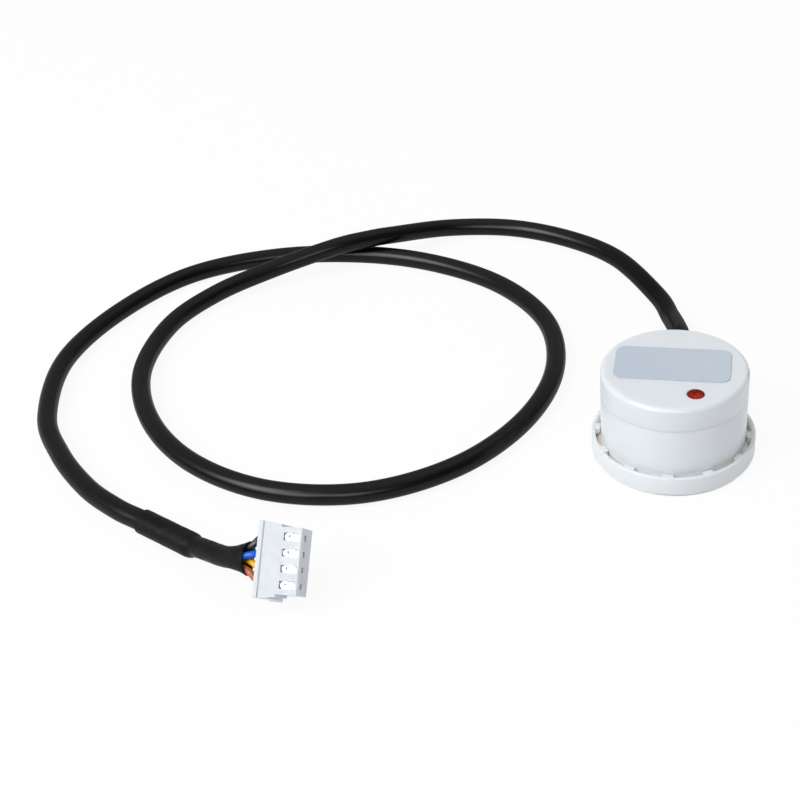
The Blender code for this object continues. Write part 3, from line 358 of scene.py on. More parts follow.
def satin_film():
    """Label stock: silver-blue satin film with a rolled grain, a painted sheen that lightens it
    across one side, and faint mottling.
    """
    shade = Shade("label_stock", (0.535, 0.61, 0.70), 0.36, 0.0, 0.20)
    x, y, _ = shade.parts(shade.place())
    rolled = shade.grain(1.0, 3.0, 0.6, shade.mapped((300.0, 7000.0, 7000.0)))
    # Painted sheen: the colour lightens across the label towards +x and +y.
    painted_sheen = shade.between(x + 0.6 * y, -0.011, 0.011)
    mottled = shade.between(shade.grain(380.0, 3.0, 0.6), 0.35, 0.72)
    tone = shade.blend(painted_sheen, (0.52, 0.595, 0.69), (0.55, 0.62, 0.70))
    shade.tint(mottled * 0.14, tone, (0.46, 0.52, 0.615))
    shade.set("Roughness", 0.30 + 0.08 * rolled + 0.10 * mottled)
    shade.set("Coat Roughness", 0.22)
    shade.relief((mottled, 20.0, 0.25), (rolled, 4.0, 0.3))
    return shade.material


def lamp_red():
    """Deep red epoxy: painted highlight flecks towards the front, a browner rim and moulding
    ripples.
    """
    shade = Shade("lamp_epoxy", (0.22, 0.008, 0.004), 0.16)
    shade.set("Specular IOR Level", 0.03)
    centred = shade.mapped((1.0, 1.0, 0.0), (-LAMP_SPOT[0], -LAMP_SPOT[1], 0.0))
    rim = shade.between(shade.span(centred), 0.3 * MM, 1.4 * MM)
    swirl = shade.grain(1800.0, 3.0, 0.5, distortion=0.8)
    broken = shade.grain(2600.0, 1.0, 0.5, distortion=1.5)
    _, backward, _ = shade.parts(centred)
    # Painted highlight: bright orange-red flecks gathered on the front of the dome.
    painted_glints = shade.between(broken - 120.0 * backward, 0.50, 0.70)
    deep = shade.blend(rim, (0.17, 0.003, 0.002), (0.17, 0.011, 0.009))
    shade.tint(painted_glints * 0.7, deep, (0.46, 0.055, 0.030))
    shade.set("Roughness", 0.12 + 0.10 * swirl)
    shade.relief((swirl, 10.0, 0.4))
    return shade.material


def insulation(name, colour, dark, mapped=True):
    """Thin insulation: drawn lines and faint smudges. The leads in the head have no surface map."""
    shade = Shade(name, colour, 0.36)
    source = shade.drawn_from(60.0, 14.0) if mapped else shade.mapped((9000.0, 900.0, 2500.0))
    lines = shade.grain(1.0, 2.0, 0.5, source)
    smudge = shade.between(shade.grain(1100.0, 3.0), 0.48, 0.75)
    shade.tint(smudge * 0.55, colour, dark)
    shade.set("Roughness", 0.28 + 0.12 * lines + 0.10 * smudge)
    shade.relief((lines, 10.0, 0.3))
    return shade.material


def foam_tape():
    shade = Shade("foam_tape", (0.82, 0.82, 0.80), 0.85)
    cells = shade.node("ShaderNodeTexVoronoi", None, Vector=shade.place(), Scale=4200.0)
    age = shade.between(shade.grain(300.0, 3.0), 0.40, 0.75)
    shade.tint(age, (0.86, 0.86, 0.85), (0.77, 0.75, 0.70))
    shade.set("Roughness", 0.72 + 0.20 * cells)
    shade.relief((cells, 40.0, 0.6))
    return shade.material


def board_laminate():
    """Green solder mask over copper tracks, woven glass showing faintly."""
    shade = Shade("board_laminate", (0.02, 0.16, 0.06), 0.35)
    x, y, _ = shade.parts(shade.place())
    weave = (x * 9000.0).sine() * (y * 9000.0).sine()
    tracks = shade.node("ShaderNodeTexBrick", {"offset": 0.5}, Vector=shade.place(), Scale=260.0,
                        Color1=(1.0, 1.0, 1.0), Color2=(0.0, 0.0, 0.0), Mortar=(0.5, 0.5, 0.5))
    mask = shade.blend(0.5 + 0.1 * weave, (0.018, 0.15, 0.055), (0.030, 0.20, 0.075))
    shade.tint(shade.node("ShaderNodeRGBToBW", None, tracks) * 0.35, mask, (0.05, 0.28, 0.10))
    shade.set("Roughness", 0.30 + 0.05 * weave)
    shade.relief((weave, 6.0, 0.4))
    return shade.material


def copper_sheet():
    shade = Shade("copper_sheet", (0.72, 0.38, 0.22), 0.3, 1.0)
    tarnish = shade.between(shade.grain(420.0, 4.0, 0.6, distortion=0.7), 0.42, 0.72)
    rolled = shade.grain(1.0, 3.0, 0.6, shade.mapped((500.0, 8000.0, 8000.0)))
    shade.tint(tarnish, (0.78, 0.42, 0.25), (0.40, 0.20, 0.12))
    shade.set("Roughness", 0.20 + 0.15 * rolled + 0.20 * tarnish)
    return shade.material


def potting():
    shade = Shade("potting_compound", (0.09, 0.07, 0.045), 0.22)
    swirl = shade.grain(350.0, 4.0, 0.6, distortion=2.0)
    bubbles = shade.node("ShaderNodeTexVoronoi", None, Vector=shade.place(), Scale=1500.0)
    shade.tint(swirl, (0.06, 0.045, 0.03), (0.13, 0.10, 0.07))
    shade.set("Roughness", 0.15 + 0.18 * swirl)
    shade.relief((shade.between(bubbles, 0.05, 0.20), 30.0, 0.4))
    return shade.material


def moulded_chip():
    shade = Shade("chip_moulding", (0.022, 0.022, 0.024), 0.55)
    sand = shade.grain(8000.0, 3.0, 0.7)
    patch = shade.between(shade.grain(700.0, 2.0), 0.40, 0.70)
    shade.tint(patch, (0.018, 0.018, 0.020), (0.032, 0.032, 0.034))
    shade.set("Roughness", 0.45 + 0.20 * sand)
    shade.relief((sand, 8.0, 0.6))
    return shade.material


def fired_ceramic():
    shade = Shade("fired_ceramic", (0.34, 0.23, 0.13), 0.5)
    sand = shade.grain(6000.0, 3.0, 0.7)
    shade.tint(sand, (0.30, 0.20, 0.11), (0.42, 0.29, 0.17))
    shade.set("Roughness", 0.40 + 0.20 * sand)
    shade.relief((sand, 6.0, 0.5))
    return shade.material


def drawn_can():
    shade = Shade("drawn_can", (0.75, 0.76, 0.78), 0.28, 1.0)
    drawn = shade.grain(1.0, 3.0, 0.6, shade.mapped((8000.0, 8000.0, 400.0)))
    shade.tint(drawn, (0.68, 0.69, 0.71), (0.82, 0.83, 0.85))
    shade.set("Roughness", 0.18 + 0.20 * drawn)
    shade.relief((drawn, 5.0, 0.4))
    return shade.material


WHITE = (0.775, 0.815, 0.855)
WIRE_TONES = {
    "black": ((0.014, 0.014, 0.014), (0.028, 0.027, 0.027)),
    "blue": ((0.0, 0.10, 0.62), (0.0, 0.06, 0.40)),
    "yellow": ((0.86, 0.50, 0.015), (0.62, 0.33, 0.01)),
    "brown": ((0.45, 0.12, 0.05), (0.28, 0.07, 0.03)),
}
HEAD_PLASTIC = moulded_white("head_plastic", WHITE, 0.34, 0.0042)
RING_PLASTIC = moulded_white("ring_plastic", (0.785, 0.82, 0.855), 0.36, 0.0040)
JACKET = extruded_pvc()
SHRUNK = shrunk_tube()
BOOT = rubber_boot()
NYLON = moulded_nylon()
TIN = tinned_metal()
FILM = satin_film()
LAMP = lamp_red()
FOAM = foam_tape()
LAMINATE = board_laminate()
COPPER = copper_sheet()
RESIN = potting()
CHIP = moulded_chip()
CERAMIC = fired_ceramic()
CAN = drawn_can()


# Mesh helpers

def linked(name, data):
    obj = bpy.data.objects.new(name, data)
    bpy.context.scene.collection.objects.link(obj)
    return obj


def piece(name, bm, finish, crease=CREASE):
    """Link a mesh as a finished piece, smooth except at edges sharper than the crease angle."""
    mesh = bpy.data.meshes.new(name)
    bm.to_mesh(mesh)
    bm.free()
    obj = linked(name, mesh)
    if finish:
        mesh.materials.append(finish)
    soften(obj, crease)
    return obj


def soften(obj, crease=CREASE):
    for face in obj.data.polygons:
        face.use_smooth = True
    obj.data.set_sharp_from_angle(angle=math.radians(crease))


def settle(obj):
    """Apply everything on the object, so that it ends as a plain mesh."""
    graph = bpy.context.evaluated_depsgraph_get()
    result = obj.evaluated_get(graph)
    mesh = bpy.data.meshes.new_from_object(result, preserve_all_data_layers=True, depsgraph=graph)
    obj.modifiers.clear()
    obj.data = mesh
    return obj


def cut(obj, tool, operation="DIFFERENCE"):
    change = obj.modifiers.new("cut", "BOOLEAN")
    change.object = tool
    change.operation = operation
    change.solver = "EXACT"
    settle(obj)
    bpy.data.objects.remove(tool, do_unlink=True)
    return obj


def rounded(obj, width, segments=3, angle=35.0):
    bevel = obj.modifiers.new("edges", "BEVEL")
    bevel.width = width
    bevel.segments = segments
    bevel.limit_method = "ANGLE"
    bevel.angle_limit = math.radians(angle)
    settle(obj)
    return obj


def turning(profile, steps, closed=False):
    """Turn a profile of (radius, height) about Z; a radius of 0 is a pole."""
    bm = bmesh.new()
    rings = []
    for radius, height in profile:
        angles = [math.tau * k / steps for k in range(steps if radius else 1)]
        rings.append([bm.verts.new((radius * math.cos(angle), radius * math.sin(angle), height))
                      for angle in angles])
    pairs = list(zip(rings, rings[1:]))
    if closed:
        pairs.append((rings[-1], rings[0]))
    for upper, lower in pairs:
        for k in range(steps):
            after = (k + 1) % steps
            corners = (upper[k % len(upper)], upper[after % len(upper)],
                       lower[after % len(lower)], lower[k % len(lower)])
            corners = list(dict.fromkeys(corners))
            if len(corners) > 2:
                bm.faces.new(corners)
    bmesh.ops.recalc_face_normals(bm, faces=bm.faces)
    return bm


def bridge(bm, first, second):
    """Faces between two rings of as many points."""
    for k in range(len(first)):
        after = (k + 1) % len(first)
        bm.faces.new((first[k], first[after], second[after], second[k]))


def arc(centre, radius, start, end, count):
    """Points on an arc, both ends with it, between two angles in degrees."""
    points = []
    for index in range(count + 1):
        angle = math.radians(start + (end - start) * index / count)
        points.append((centre[0] + radius * math.cos(angle), centre[1] + radius * math.sin(angle)))
    return points


def block(name, size, centre, finish=None):
    bm = bmesh.new()
    place = Matrix.Translation(centre) @ Matrix.Diagonal((*size, 1.0))
    bmesh.ops.create_cube(bm, size=1.0, matrix=place)
    return piece(name, bm, finish)


def rod(name, radius, low, high, steps, place):
    bm = turning([(0.0, high), (radius, high), (radius, low), (0.0, low)], steps)
    bmesh.ops.transform(bm, matrix=place, verts=bm.verts)
    return piece(name, bm, None)


def smooth_curve(points, per_span):
    """Catmull-Rom curve through the points."""
    padded = [points[0] * 2 - points[1], *points, points[-1] * 2 - points[-2]]
    samples = []
    for index in range(1, len(padded) - 2):
        before, start, end, after = padded[index - 1:index + 3]
        for step in range(per_span):
            t = step / per_span
            linear = (end - before) * t
            square = (before * 2 - start * 5 + end * 4 - after) * t * t
            cube = (start * 3 - before - end * 3 + after) * t * t * t
            samples.append((start * 2 + linear + square + cube) * 0.5)
    samples.append(points[-1])
    return samples


def evenly_spaced(samples, count):
    """Points at equal distances along a finely sampled line."""
    lengths = [0.0]
    for first, second in zip(samples, samples[1:]):
        lengths.append(lengths[-1] + (second - first).length)
    picked = []
    index = 0
    for number in range(count):
        wanted = lengths[-1] * number / (count - 1)
        while index < len(samples) - 2 and lengths[index + 1] < wanted:
            index += 1
        part = (wanted - lengths[index]) / (lengths[index + 1] - lengths[index])
        picked.append(samples[index].lerp(samples[index + 1], part))
    return picked


def round_tube(name, line, radius, finish, steps):
    """Closed round tube along a line with its own surface map: u in metres along, v around."""
    bm = bmesh.new()
    layer = bm.loops.layers.uv.new("UVMap")
    side = (line[1] - line[0]).orthogonal().normalized()
    rings = []
    travelled = 0.0
    for index, spot in enumerate(line):
        ahead = line[min(index + 1, len(line) - 1)]
        behind = line[max(index - 1, 0)]
        tangent = (ahead - behind).normalized()
        side = (side - tangent * side.dot(tangent)).normalized()
        across = tangent.cross(side)
        travelled += (spot - behind).length if index else 0.0
        ring = []
        for k in range(steps):
            angle = math.tau * k / steps
            outward = side * math.cos(angle) + across * math.sin(angle)
            ring.append(bm.verts.new(spot + outward * radius))
        rings.append((travelled, ring))
    for (u0, first), (u1, second) in zip(rings, rings[1:]):
        for k in range(steps):
            after = (k + 1) % steps
            face = bm.faces.new((first[k], first[after], second[after], second[k]))
            for loop, uv in zip(face.loops, ((u0, k), (u0, k + 1), (u1, k + 1), (u1, k))):
                loop[layer].uv = (uv[0], uv[1] / steps)
    for u, ring in ((rings[0][0], rings[0][1][::-1]), rings[-1]):
        face = bm.faces.new(ring)
        for loop in face.loops:
            loop[layer].uv = (u, 0.5)
    bmesh.ops.recalc_face_normals(bm, faces=bm.faces)
    return piece(name, bm, finish, crease=50.0)


def finished(obj, body, finish_slot, *nodes):
    """Hide the CAD nodes that the piece stands for and attach it to the body it moves with;
    finish_slot is not used.
    """
    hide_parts(*nodes)
    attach(obj, body)
    return obj


# Node group for what repeats

def new_tree(name, **kinds):
    """A Geometry Nodes tree and its inputs by name."""
    tree = bpy.data.node_groups.new(name, "GeometryNodeTree")
    tree.interface.new_socket("Geometry", in_out="INPUT", socket_type="NodeSocketGeometry")
    for label, kind in kinds.items():
        tree.interface.new_socket(label.replace("_", " "), in_out="INPUT",
                                  socket_type="NodeSocket" + kind)
    tree.interface.new_socket("Geometry", in_out="OUTPUT", socket_type="NodeSocketGeometry")
    made = Tree(tree)
    return made, made.node("NodeGroupInput", out=None)


def close_tree(made, placed, material):
    """The instances made real, painted and given out."""
    real = made.node("GeometryNodeRealizeInstances", None, placed)
    painted = made.node("GeometryNodeSetMaterial", None, Geometry=real, Material=material)
    made.node("NodeGroupOutput", None, painted)
    return made.tree


def run_tree(obj, tree, values):
    """Set the tree's inputs by identifier, run it and leave a plain mesh."""
    modifier = obj.modifiers.new("repeat", "NODES")
    modifier.node_group = tree
    for item in tree.interface.items_tree:
        if item.item_type == "SOCKET" and item.in_out == "INPUT" and item.name in values:
            modifier[item.identifier] = values[item.name]
    obj.update_tag()
    return settle(obj)


def lug_tree():
    """Round-cornered lugs set evenly on a circle, each pointing at the middle."""
    made, given = new_tree(
        "lugs_on_a_ring", Lug_Count="Int", Middle_Radius="Float", Lug_Depth="Float",
        Lug_Width="Float", Corner="Float", Low="Float", High="Float", Plastic="Material")
    outline = made.node("GeometryNodeCurvePrimitiveQuadrilateral", {"mode": "RECTANGLE"},
                        Width=given["Lug Depth"], Height=given["Lug Width"])
    softened = made.node("GeometryNodeFilletCurve", {"mode": "POLY"}, Curve=outline,
                         Radius=given["Corner"], Count=4)
    low = made.node("ShaderNodeCombineXYZ", None, Z=given["Low"])
    high = made.node("ShaderNodeCombineXYZ", None, Z=given["High"])
    post = made.node("GeometryNodeCurvePrimitiveLine", None, Start=low, End=high)
    lug = made.node("GeometryNodeCurveToMesh", None, Curve=post, Profile_Curve=softened,
                    Fill_Caps=True)
    circle = made.node("GeometryNodeMeshCircle", None, Vertices=given["Lug Count"],
                       Radius=given["Middle Radius"])
    angle = made.node("GeometryNodeInputIndex") / given["Lug Count"] * math.tau
    turn = made.node("ShaderNodeCombineXYZ", None, Z=angle)
    placed = made.node("GeometryNodeInstanceOnPoints", None, Points=circle, Instance=lug,
                       Rotation=turn)
    return close_tree(made, placed, given["Plastic"])


def row_tree():
    """Copies of the object's own mesh in a straight row."""
    made, given = new_tree("terminals_in_a_row", Ways="Int", Pitch="Float", Metal="Material")
    offset = made.node("ShaderNodeCombineXYZ", None, Y=given["Pitch"] * -1.0)
    line = made.node("GeometryNodeMeshLine", {"mode": "OFFSET"}, Count=given["Ways"], Offset=offset)
    placed = made.node("GeometryNodeInstanceOnPoints", None, Points=line,
                       Instance=given["Geometry"])
    return close_tree(made, placed, given["Metal"])


# Head and ring

def make_cover():
    """Upper half: rounded rim, spigot into the cup, chamfered lamp hole and a gate mark."""
    bottom = SEAM + SEAM_GAP
    ceiling = HEAD_TOP - 1.3 * MM
    spigot = CAVITY_R - SNUG
    spigot_bore = spigot - 0.45 * MM
    spigot_low = bottom - 1.1 * MM
    profile = [(0.0, HEAD_TOP)]
    profile += arc((HEAD_R - RIM, HEAD_TOP - RIM), RIM, 90.0, 0.0, 12)
    profile += arc((HEAD_R - SEAM_EDGE, bottom + SEAM_EDGE), SEAM_EDGE, 0.0, -90.0, 3)
    profile += [(spigot, bottom), (spigot, spigot_low), (spigot_bore, spigot_low),
                (spigot_bore, ceiling), (0.0, ceiling)]
    cover = piece("cover_cap", turning(profile, HEAD_STEPS), HEAD_PLASTIC)
    chamfer = 0.06 * MM
    above, below = HEAD_TOP + MM, HEAD_TOP - 3.0 * MM
    cone = [(0.0, above), (LAMP_HOLE_R + MM + chamfer, above), (LAMP_HOLE_R, HEAD_TOP - chamfer),
            (LAMP_HOLE_R, below), (0.0, below)]
    bm = turning(cone, 64)
    bmesh.ops.translate(bm, vec=(*LAMP_SPOT, 0.0), verts=bm.verts)
    cut(cover, piece("lamp_hole", bm, None))
    gate_size = (0.7 * MM, 2.4 * MM, 1.8 * MM)
    gate = block("gate_mark", gate_size, (HEAD_R, 0.0, HEAD_TOP - 0.45 * MM))
    cut(cover, rounded(gate, 0.12 * MM))
    soften(cover)
    return finished(cover, "sensor", "white_abs", "top_cover")


def make_cup():
    """Lower half: ledge for the board, foot flange under the lugs, sensing face and cable hole."""
    floor = 1.95 * MM
    ledge = CAVITY_R - 0.7 * MM
    ledge_top = 4.2 * MM
    draft_end = 3.0 * MM
    flange_r = 13.0 * MM
    flange_low = 1.5 * MM
    flange_top = flange_low + 1.2 * MM
    fillet = 0.25 * MM
    edge = 0.15 * MM
    face_r, face = 9.5 * MM, 0.75 * MM
    profile = [(0.0, floor), (ledge, floor), (ledge, ledge_top), (CAVITY_R, ledge_top),
               (CAVITY_R, SEAM)]
    profile += arc((HEAD_R - SEAM_EDGE, SEAM - SEAM_EDGE), SEAM_EDGE, 90.0, 0.0, 3)
    profile += [(FOOT_R, draft_end)]
    profile += arc((FOOT_R + fillet, flange_top + fillet), fillet, 180.0, 270.0, 4)
    profile += arc((flange_r - edge, flange_top - edge), edge, 90.0, 0.0, 3)
    profile += [(flange_r, flange_low), (face_r, flange_low), (face_r, face), (0.0, face)]
    cup = piece("sensor_body", turning(profile, HEAD_STEPS), HEAD_PLASTIC)
    cut(cup, rod("cable_hole", 2.6 * MM, 6.0 * MM, 18.0 * MM, 64, EXIT))
    soften(cup)
    return finished(cup, "sensor", "white_abs", "sensor_cup")


def make_ring():
    """Mounting ring with rounded edges, a floor and lugs turned inward over the foot flange."""
    edge = 0.22 * MM
    bore = 9.8 * MM
    floor = 1.35 * MM
    profile = arc((RING_BORE + edge, RING_TOP - edge), edge, 180.0, 90.0, 4)
    profile += arc((RING_R - edge, RING_TOP - edge), edge, 90.0, 0.0, 6)
    profile += arc((RING_R - edge, RING_FOOT + edge), edge, 0.0, -90.0, 5)
    profile += [(bore, RING_FOOT), (bore, floor), (RING_BORE, floor)]
    ring = piece("ring_wall", turning(profile, HEAD_STEPS, closed=True), RING_PLASTIC)
    lugs = run_tree(piece("ring_lugs", bmesh.new(), None), lug_tree(), {
        "Lug Count": LUG_COUNT, "Middle Radius": 13.05 * MM, "Lug Depth": 1.0 * MM,
        "Lug Width": 1.8 * MM, "Corner": 0.16 * MM, "Low": 2.85 * MM, "High": RING_TOP - 0.12 * MM,
        "Plastic": RING_PLASTIC})
    clean = bmesh.new()
    clean.from_mesh(lugs.data)
    bmesh.ops.remove_doubles(clean, verts=clean.verts, dist=1e-7)
    bmesh.ops.recalc_face_normals(clean, faces=clean.faces)
    clean.to_mesh(lugs.data)
    clean.free()
    cut(ring, lugs, "UNION")
    soften(ring)
    return finished(ring, "ring", "white_abs", "mounting_ring")


def make_pad():
    """Foam disc with a slightly drawn-in waist."""
    top = 0.6 * MM
    radius = 13.45 * MM
    edge = 0.05 * MM
    waist = radius - 0.04 * MM
    profile = [(0.0, top), (radius - edge, top), (radius, top - edge), (waist, 0.5 * top),
               (radius, edge), (radius - edge, 0.0), (0.0, 0.0)]
    pad = piece("foam_disc", turning(profile, 128), FOAM)
    return finished(pad, "ring", "foam_tape", "adhesive_pad")


def make_label():
    """Blank film, laid on the top face with a rolled-over edge."""
    half_x = 0.5 * LABEL_SIZE[0] - LABEL_CORNER
    half_y = 0.5 * LABEL_SIZE[1] - LABEL_CORNER
    base = HEAD_TOP + SNUG
    bm = bmesh.new()
    rings = []
    for inset, height in ((0.0, 0.0), (0.0, 0.08), (0.04, 0.12)):
        ring = []
        for sx, sy, start in ((1, 1, 0.0), (-1, 1, 90.0), (-1, -1, 180.0), (1, -1, 270.0)):
            radius = LABEL_CORNER - inset * MM
            for x, y in arc((sx * half_x, sy * half_y), radius, start, start + 90.0, 12):
                spot = (x + LABEL_SPOT[0], y + LABEL_SPOT[1], base + height * MM)
                ring.append(bm.verts.new(spot))
        rings.append(ring)
    for lower, upper in zip(rings, rings[1:]):
        bridge(bm, lower, upper)
    bm.faces.new(rings[-1])
    bm.faces.new(rings[0][::-1])
    bmesh.ops.recalc_face_normals(bm, faces=bm.faces)
    return finished(piece("label_blank", bm, FILM), "sensor", "label_film", "label_plate")


def make_lamp():
    """Lamp with a flattened dome, a collar at its base and two legs down to the board."""
    top = HEAD_TOP + 0.3 * MM
    base = top - 5.0 * MM
    collar_r = 1.8 * MM
    collar_top = base + 0.8 * MM
    shoulder = top - LAMP_DOME
    profile = [(0.0, top)]
    for radius, height in arc((0.0, 0.0), LAMP_R, 84.0, 0.0, 14):
        profile.append((radius, shoulder + height * LAMP_DOME / LAMP_R))
    profile += [(LAMP_R, collar_top), (collar_r, collar_top), (collar_r, base), (0.0, base)]
    bm = turning(profile, 64)
    bmesh.ops.translate(bm, vec=(*LAMP_SPOT, 0.0), verts=bm.verts)
    lamp = piece("lamp_dome", bm, LAMP)
    leg_r, leg_low, leg_high = 0.25 * MM, 4.25 * MM, base + 0.4 * MM
    for side in (-1, 1):
        place = Matrix.Translation((LAMP_SPOT[0] + side * 1.27 * MM, LAMP_SPOT[1], 0.0))
        cut(lamp, rod("lamp_leg", leg_r, leg_low, leg_high, 16, place), "UNION")
    soften(lamp)
    return finished(lamp, "sensor", "red_lens", "status_led")


def make_boot():
    """Ribbed strain relief through the wall, tapered towards the cable."""
    bore = CABLE_R + 0.04 * MM
    reach = HEAD_R + 6.4 * MM
    root, tip = 2.85 * MM, 2.35 * MM
    edge = 0.15 * MM
    first_groove, groove_step, groove_r, lip = 1.4 * MM, 1.6 * MM, 0.30 * MM, 0.06 * MM
    neck, collar = 2.5 * MM, 2.95 * MM
    collar_face, collar_end = CAVITY_R - SNUG, CAVITY_R - MM
    profile = [(bore, reach)]
    profile += arc((tip - edge, reach - edge), edge, 90.0, 0.0, 4)
    for number in (2, 1, 0):
        height = HEAD_R + first_groove + groove_step * number
        radius = tip + (root - tip) * (reach - height) / (reach - HEAD_R)
        profile += [(radius, height + 2.0 * groove_r + lip)]
        profile += arc((radius + lip, height + groove_r), groove_r, 101.0, 259.0, 8)
        profile += [(radius, height - lip)]
    profile += [(root, HEAD_R + 0.07 * MM), (neck, HEAD_R + SNUG), (neck, collar_face),
                (collar, collar_face), (collar, collar_end), (bore, collar_end)]
    bm = turning(profile, 96, closed=True)
    bmesh.ops.transform(bm, matrix=EXIT, verts=bm.verts)
    boot = piece("cable_boot", bm, BOOT, crease=45.0)
    return finished(boot, "sensor", "black_rubber", "cable_grommet")


# Cable, sleeve and plug

def plug_pose():
    """The plug leans back and stands on its lowest corner."""
    turn = Euler([math.radians(angle) for angle in PLUG_TURN], "XYZ").to_matrix().to_4x4()
    corners = [(x, -PLUG_HALF - TAB_PROUD, -0.5 * TAB_WIDE) for x in (FLANGE, FLANGE - TAB)]
    lip_half = PLUG_HALF - 0.5 * PLUG_EDGE
    top = 0.5 * PLUG_THICK
    for x, y, z in ((0.0, lip_half, top + LIP_PROUD), (LIP, lip_half, top + LIP_PROUD),
                    (FLANGE, PLUG_HALF - FLANGE_TAPER, top), (PLUG_LENGTH, NOSE_HALF, top)):
        corners += [(x, side * y, face * z) for side in (-1, 1) for face in (-1, 1)]
    lowest = min((turn @ Vector(corner)).z for corner in corners)
    return Matrix.Translation((*PLUG_SPOT, PLUG_LIFT - lowest)) @ turn


POSE = plug_pose()
TAIL_SPANS = 5
ROUTE_POINTS = [Vector(point) * MM for point in ROUTE]


def tail_line(per_span):
    """Centre line of the wires from the jacket's end to the crimps."""
    end = ROUTE_POINTS[-1]
    mouth = POSE @ Vector((-SLEEVE_TO_PLUG, 0.0, WAY_RISE))
    sag = Vector((0.0, -0.4 * MM, -0.4 * MM))
    bend = end.lerp(mouth, 0.62) + sag
    entry = POSE @ Vector((0.0, 0.0, WAY_RISE))
    crimp_depth = 1.84 * MM
    inside = POSE @ Vector((crimp_depth, 0.0, WAY_RISE))
    return smooth_curve([end, end.lerp(bend, 0.5), bend, mouth, entry, inside], per_span)


def stations(line):
    """Place, y axis and z axis along a line, y following the plug's row of ways."""
    across = (POSE.to_3x3() @ Vector((0.0, 1.0, 0.0))).normalized()
    found = []
    for index, spot in enumerate(line):
        ahead = line[min(index + 1, len(line) - 1)]
        behind = line[max(index - 1, 0)]
        tangent = (ahead - behind).normalized()
        y_axis = (across - tangent * across.dot(tangent)).normalized()
        found.append((spot, y_axis, tangent.cross(y_axis)))
    return found


def within(value):
    return min(max(value, 0.0), 1.0)


def ease(value):
    """Smooth step from 0 to 1."""
    value = within(value)
    return value * value * (3.0 - 2.0 * value)


def spread(share):
    """0 where the wires are bundled, 1 where they stand at the plug's pitch."""
    return ease((share - 0.42) / 0.46)


def make_cable():
    """The whole visible cord, from its inner end in the head to the sleeve, and its centre line."""
    line = evenly_spaced(smooth_curve(ROUTE_POINTS, 30), 520)
    jacket = round_tube("cable_jacket", line, CABLE_R, JACKET, 32)
    return finished(jacket, "sensor", "black_pvc", "cable"), line


def make_wires():
    """Four wires, bundled at the jacket's end and spread to the plug's ways at their crimps."""
    steps = 14
    line = tail_line(steps)
    frames = stations(line)
    made = []
    for number, (colour, across, up) in enumerate(CORES):
        points = []
        for index, (spot, y_axis, z_axis) in enumerate(frames):
            out = spread(index / (TAIL_SPANS * steps))
            y = across * BUNDLE_R * (1.0 - out) + (HALF_ROW - number) * PITCH * out
            z = up * BUNDLE_R * (1.0 - out)
            points.append(spot + y_axis * y + z_axis * z)
        points[0] += (line[1] - line[0]).normalized() * 0.3 * MM
        finish = insulation("wire_%s_skin" % colour, *WIRE_TONES[colour])
        wire = round_tube("%s_wire" % colour, points, WIRE_R, finish, 20)
        made.append(finished(wire, "sensor", "wire_" + colour, "wire_" + colour))
    return made


def sleeve_shape():
    """Centre, half width and half height of the sleeve's bore along its length, finely spaced."""
    steps = 16
    tail = tail_line(steps)
    end = tail[0]
    along = (ROUTE_POINTS[-1] - ROUTE_POINTS[-2]).normalized()
    wide = CABLE_R + SLEEVE_FIT
    slim = BUNDLE_R + WIRE_R + SLEEVE_FIT
    flat = WIRE_R + SLEEVE_FIT
    shape = []
    count = 36
    for number in range(count):
        back = SLEEVE_OVERLAP * (1.0 - number / count)
        shape.append((end - along * back, wide, wide))
    for index in range(3 * steps + 1):
        out = spread(index / (TAIL_SPANS * steps))
        past_end = (tail[index] - end).length - 0.1 * MM
        shoulder = (1.0 - ease(past_end / (2.0 * MM))) * (wide - slim)
        half_y = slim * (1.0 - out) + out * (HALF_ROW * PITCH + flat)
        half_z = slim * (1.0 - out) + out * flat
        shape.append((tail[index], half_y + shoulder, half_z + shoulder))
    return shape


def skin(spot, index, c, s, flatness):
    """Thickness at one point of the sleeve's outside: crinkles, and soft ridges over the wires."""
    crinkle = noise.noise(spot * 900.0 + Vector((c, s, 0.0)) * 1.6)
    ripple = noise.noise(Vector((index * 0.32, c * 2.2, s * 2.2)))
    ridge = math.cos(math.pi * 4.0 * (0.5 + 0.5 * c)) * within((flatness - 1.3) / 1.5)
    return SLEEVE_WALL * (0.92 + 0.10 * crinkle) + 0.035 * MM * ripple - 0.05 * MM * ridge * abs(s)


def ragged_rim(at_mouth, c, s):
    """How far the sleeve's cut edge stands out at one point of its mouth or back end."""
    if at_mouth:
        tear = noise.noise(Vector((c * 3.1, s * 3.1, 4.0)))
        return 0.28 * MM * tear + 0.30 * MM * (abs(c) - 0.6)
    return 0.12 * MM * noise.noise(Vector((c * 2.3, s * 2.3, 9.0)))


def make_sleeve():
    """Shrunk tube: crinkled skin, wires showing through near the mouth and a ragged rim."""
    shape = sleeve_shape()
    frames = stations([spot for spot, _, _ in shape])
    steps = 96
    last = len(shape) - 1
    layers = []
    for outer in (True, False):
        rings = []
        for index, ((spot, y_axis, z_axis), (_, half_y, half_z)) in enumerate(zip(frames, shape)):
            ring = []
            tangent = y_axis.cross(z_axis)
            for k in range(steps):
                angle = math.tau * k / steps
                c, s = math.cos(angle), math.sin(angle)
                wall = skin(spot, index, c, s, half_y / half_z) if outer else 0.0
                rim = ragged_rim(index == last, c, s) if index in (0, last) else 0.0
                ring.append(spot + y_axis * (half_y + wall) * c + z_axis * (half_z + wall) * s
                            + tangent * rim)
            rings.append(ring)
        layers.append(rings)
    bm = bmesh.new()
    grid = [[bm.verts.new(spot) for spot in ring] for ring in layers[0] + layers[1][::-1]]
    for index, ring in enumerate(grid):
        bridge(bm, ring, grid[(index + 1) % len(grid)])
    bmesh.ops.recalc_face_normals(bm, faces=bm.faces)
    sleeve = piece("shrink_sleeve", bm, SHRUNK, crease=50.0)
    return finished(sleeve, "sensor", "shrink_tube", "heat_shrink")


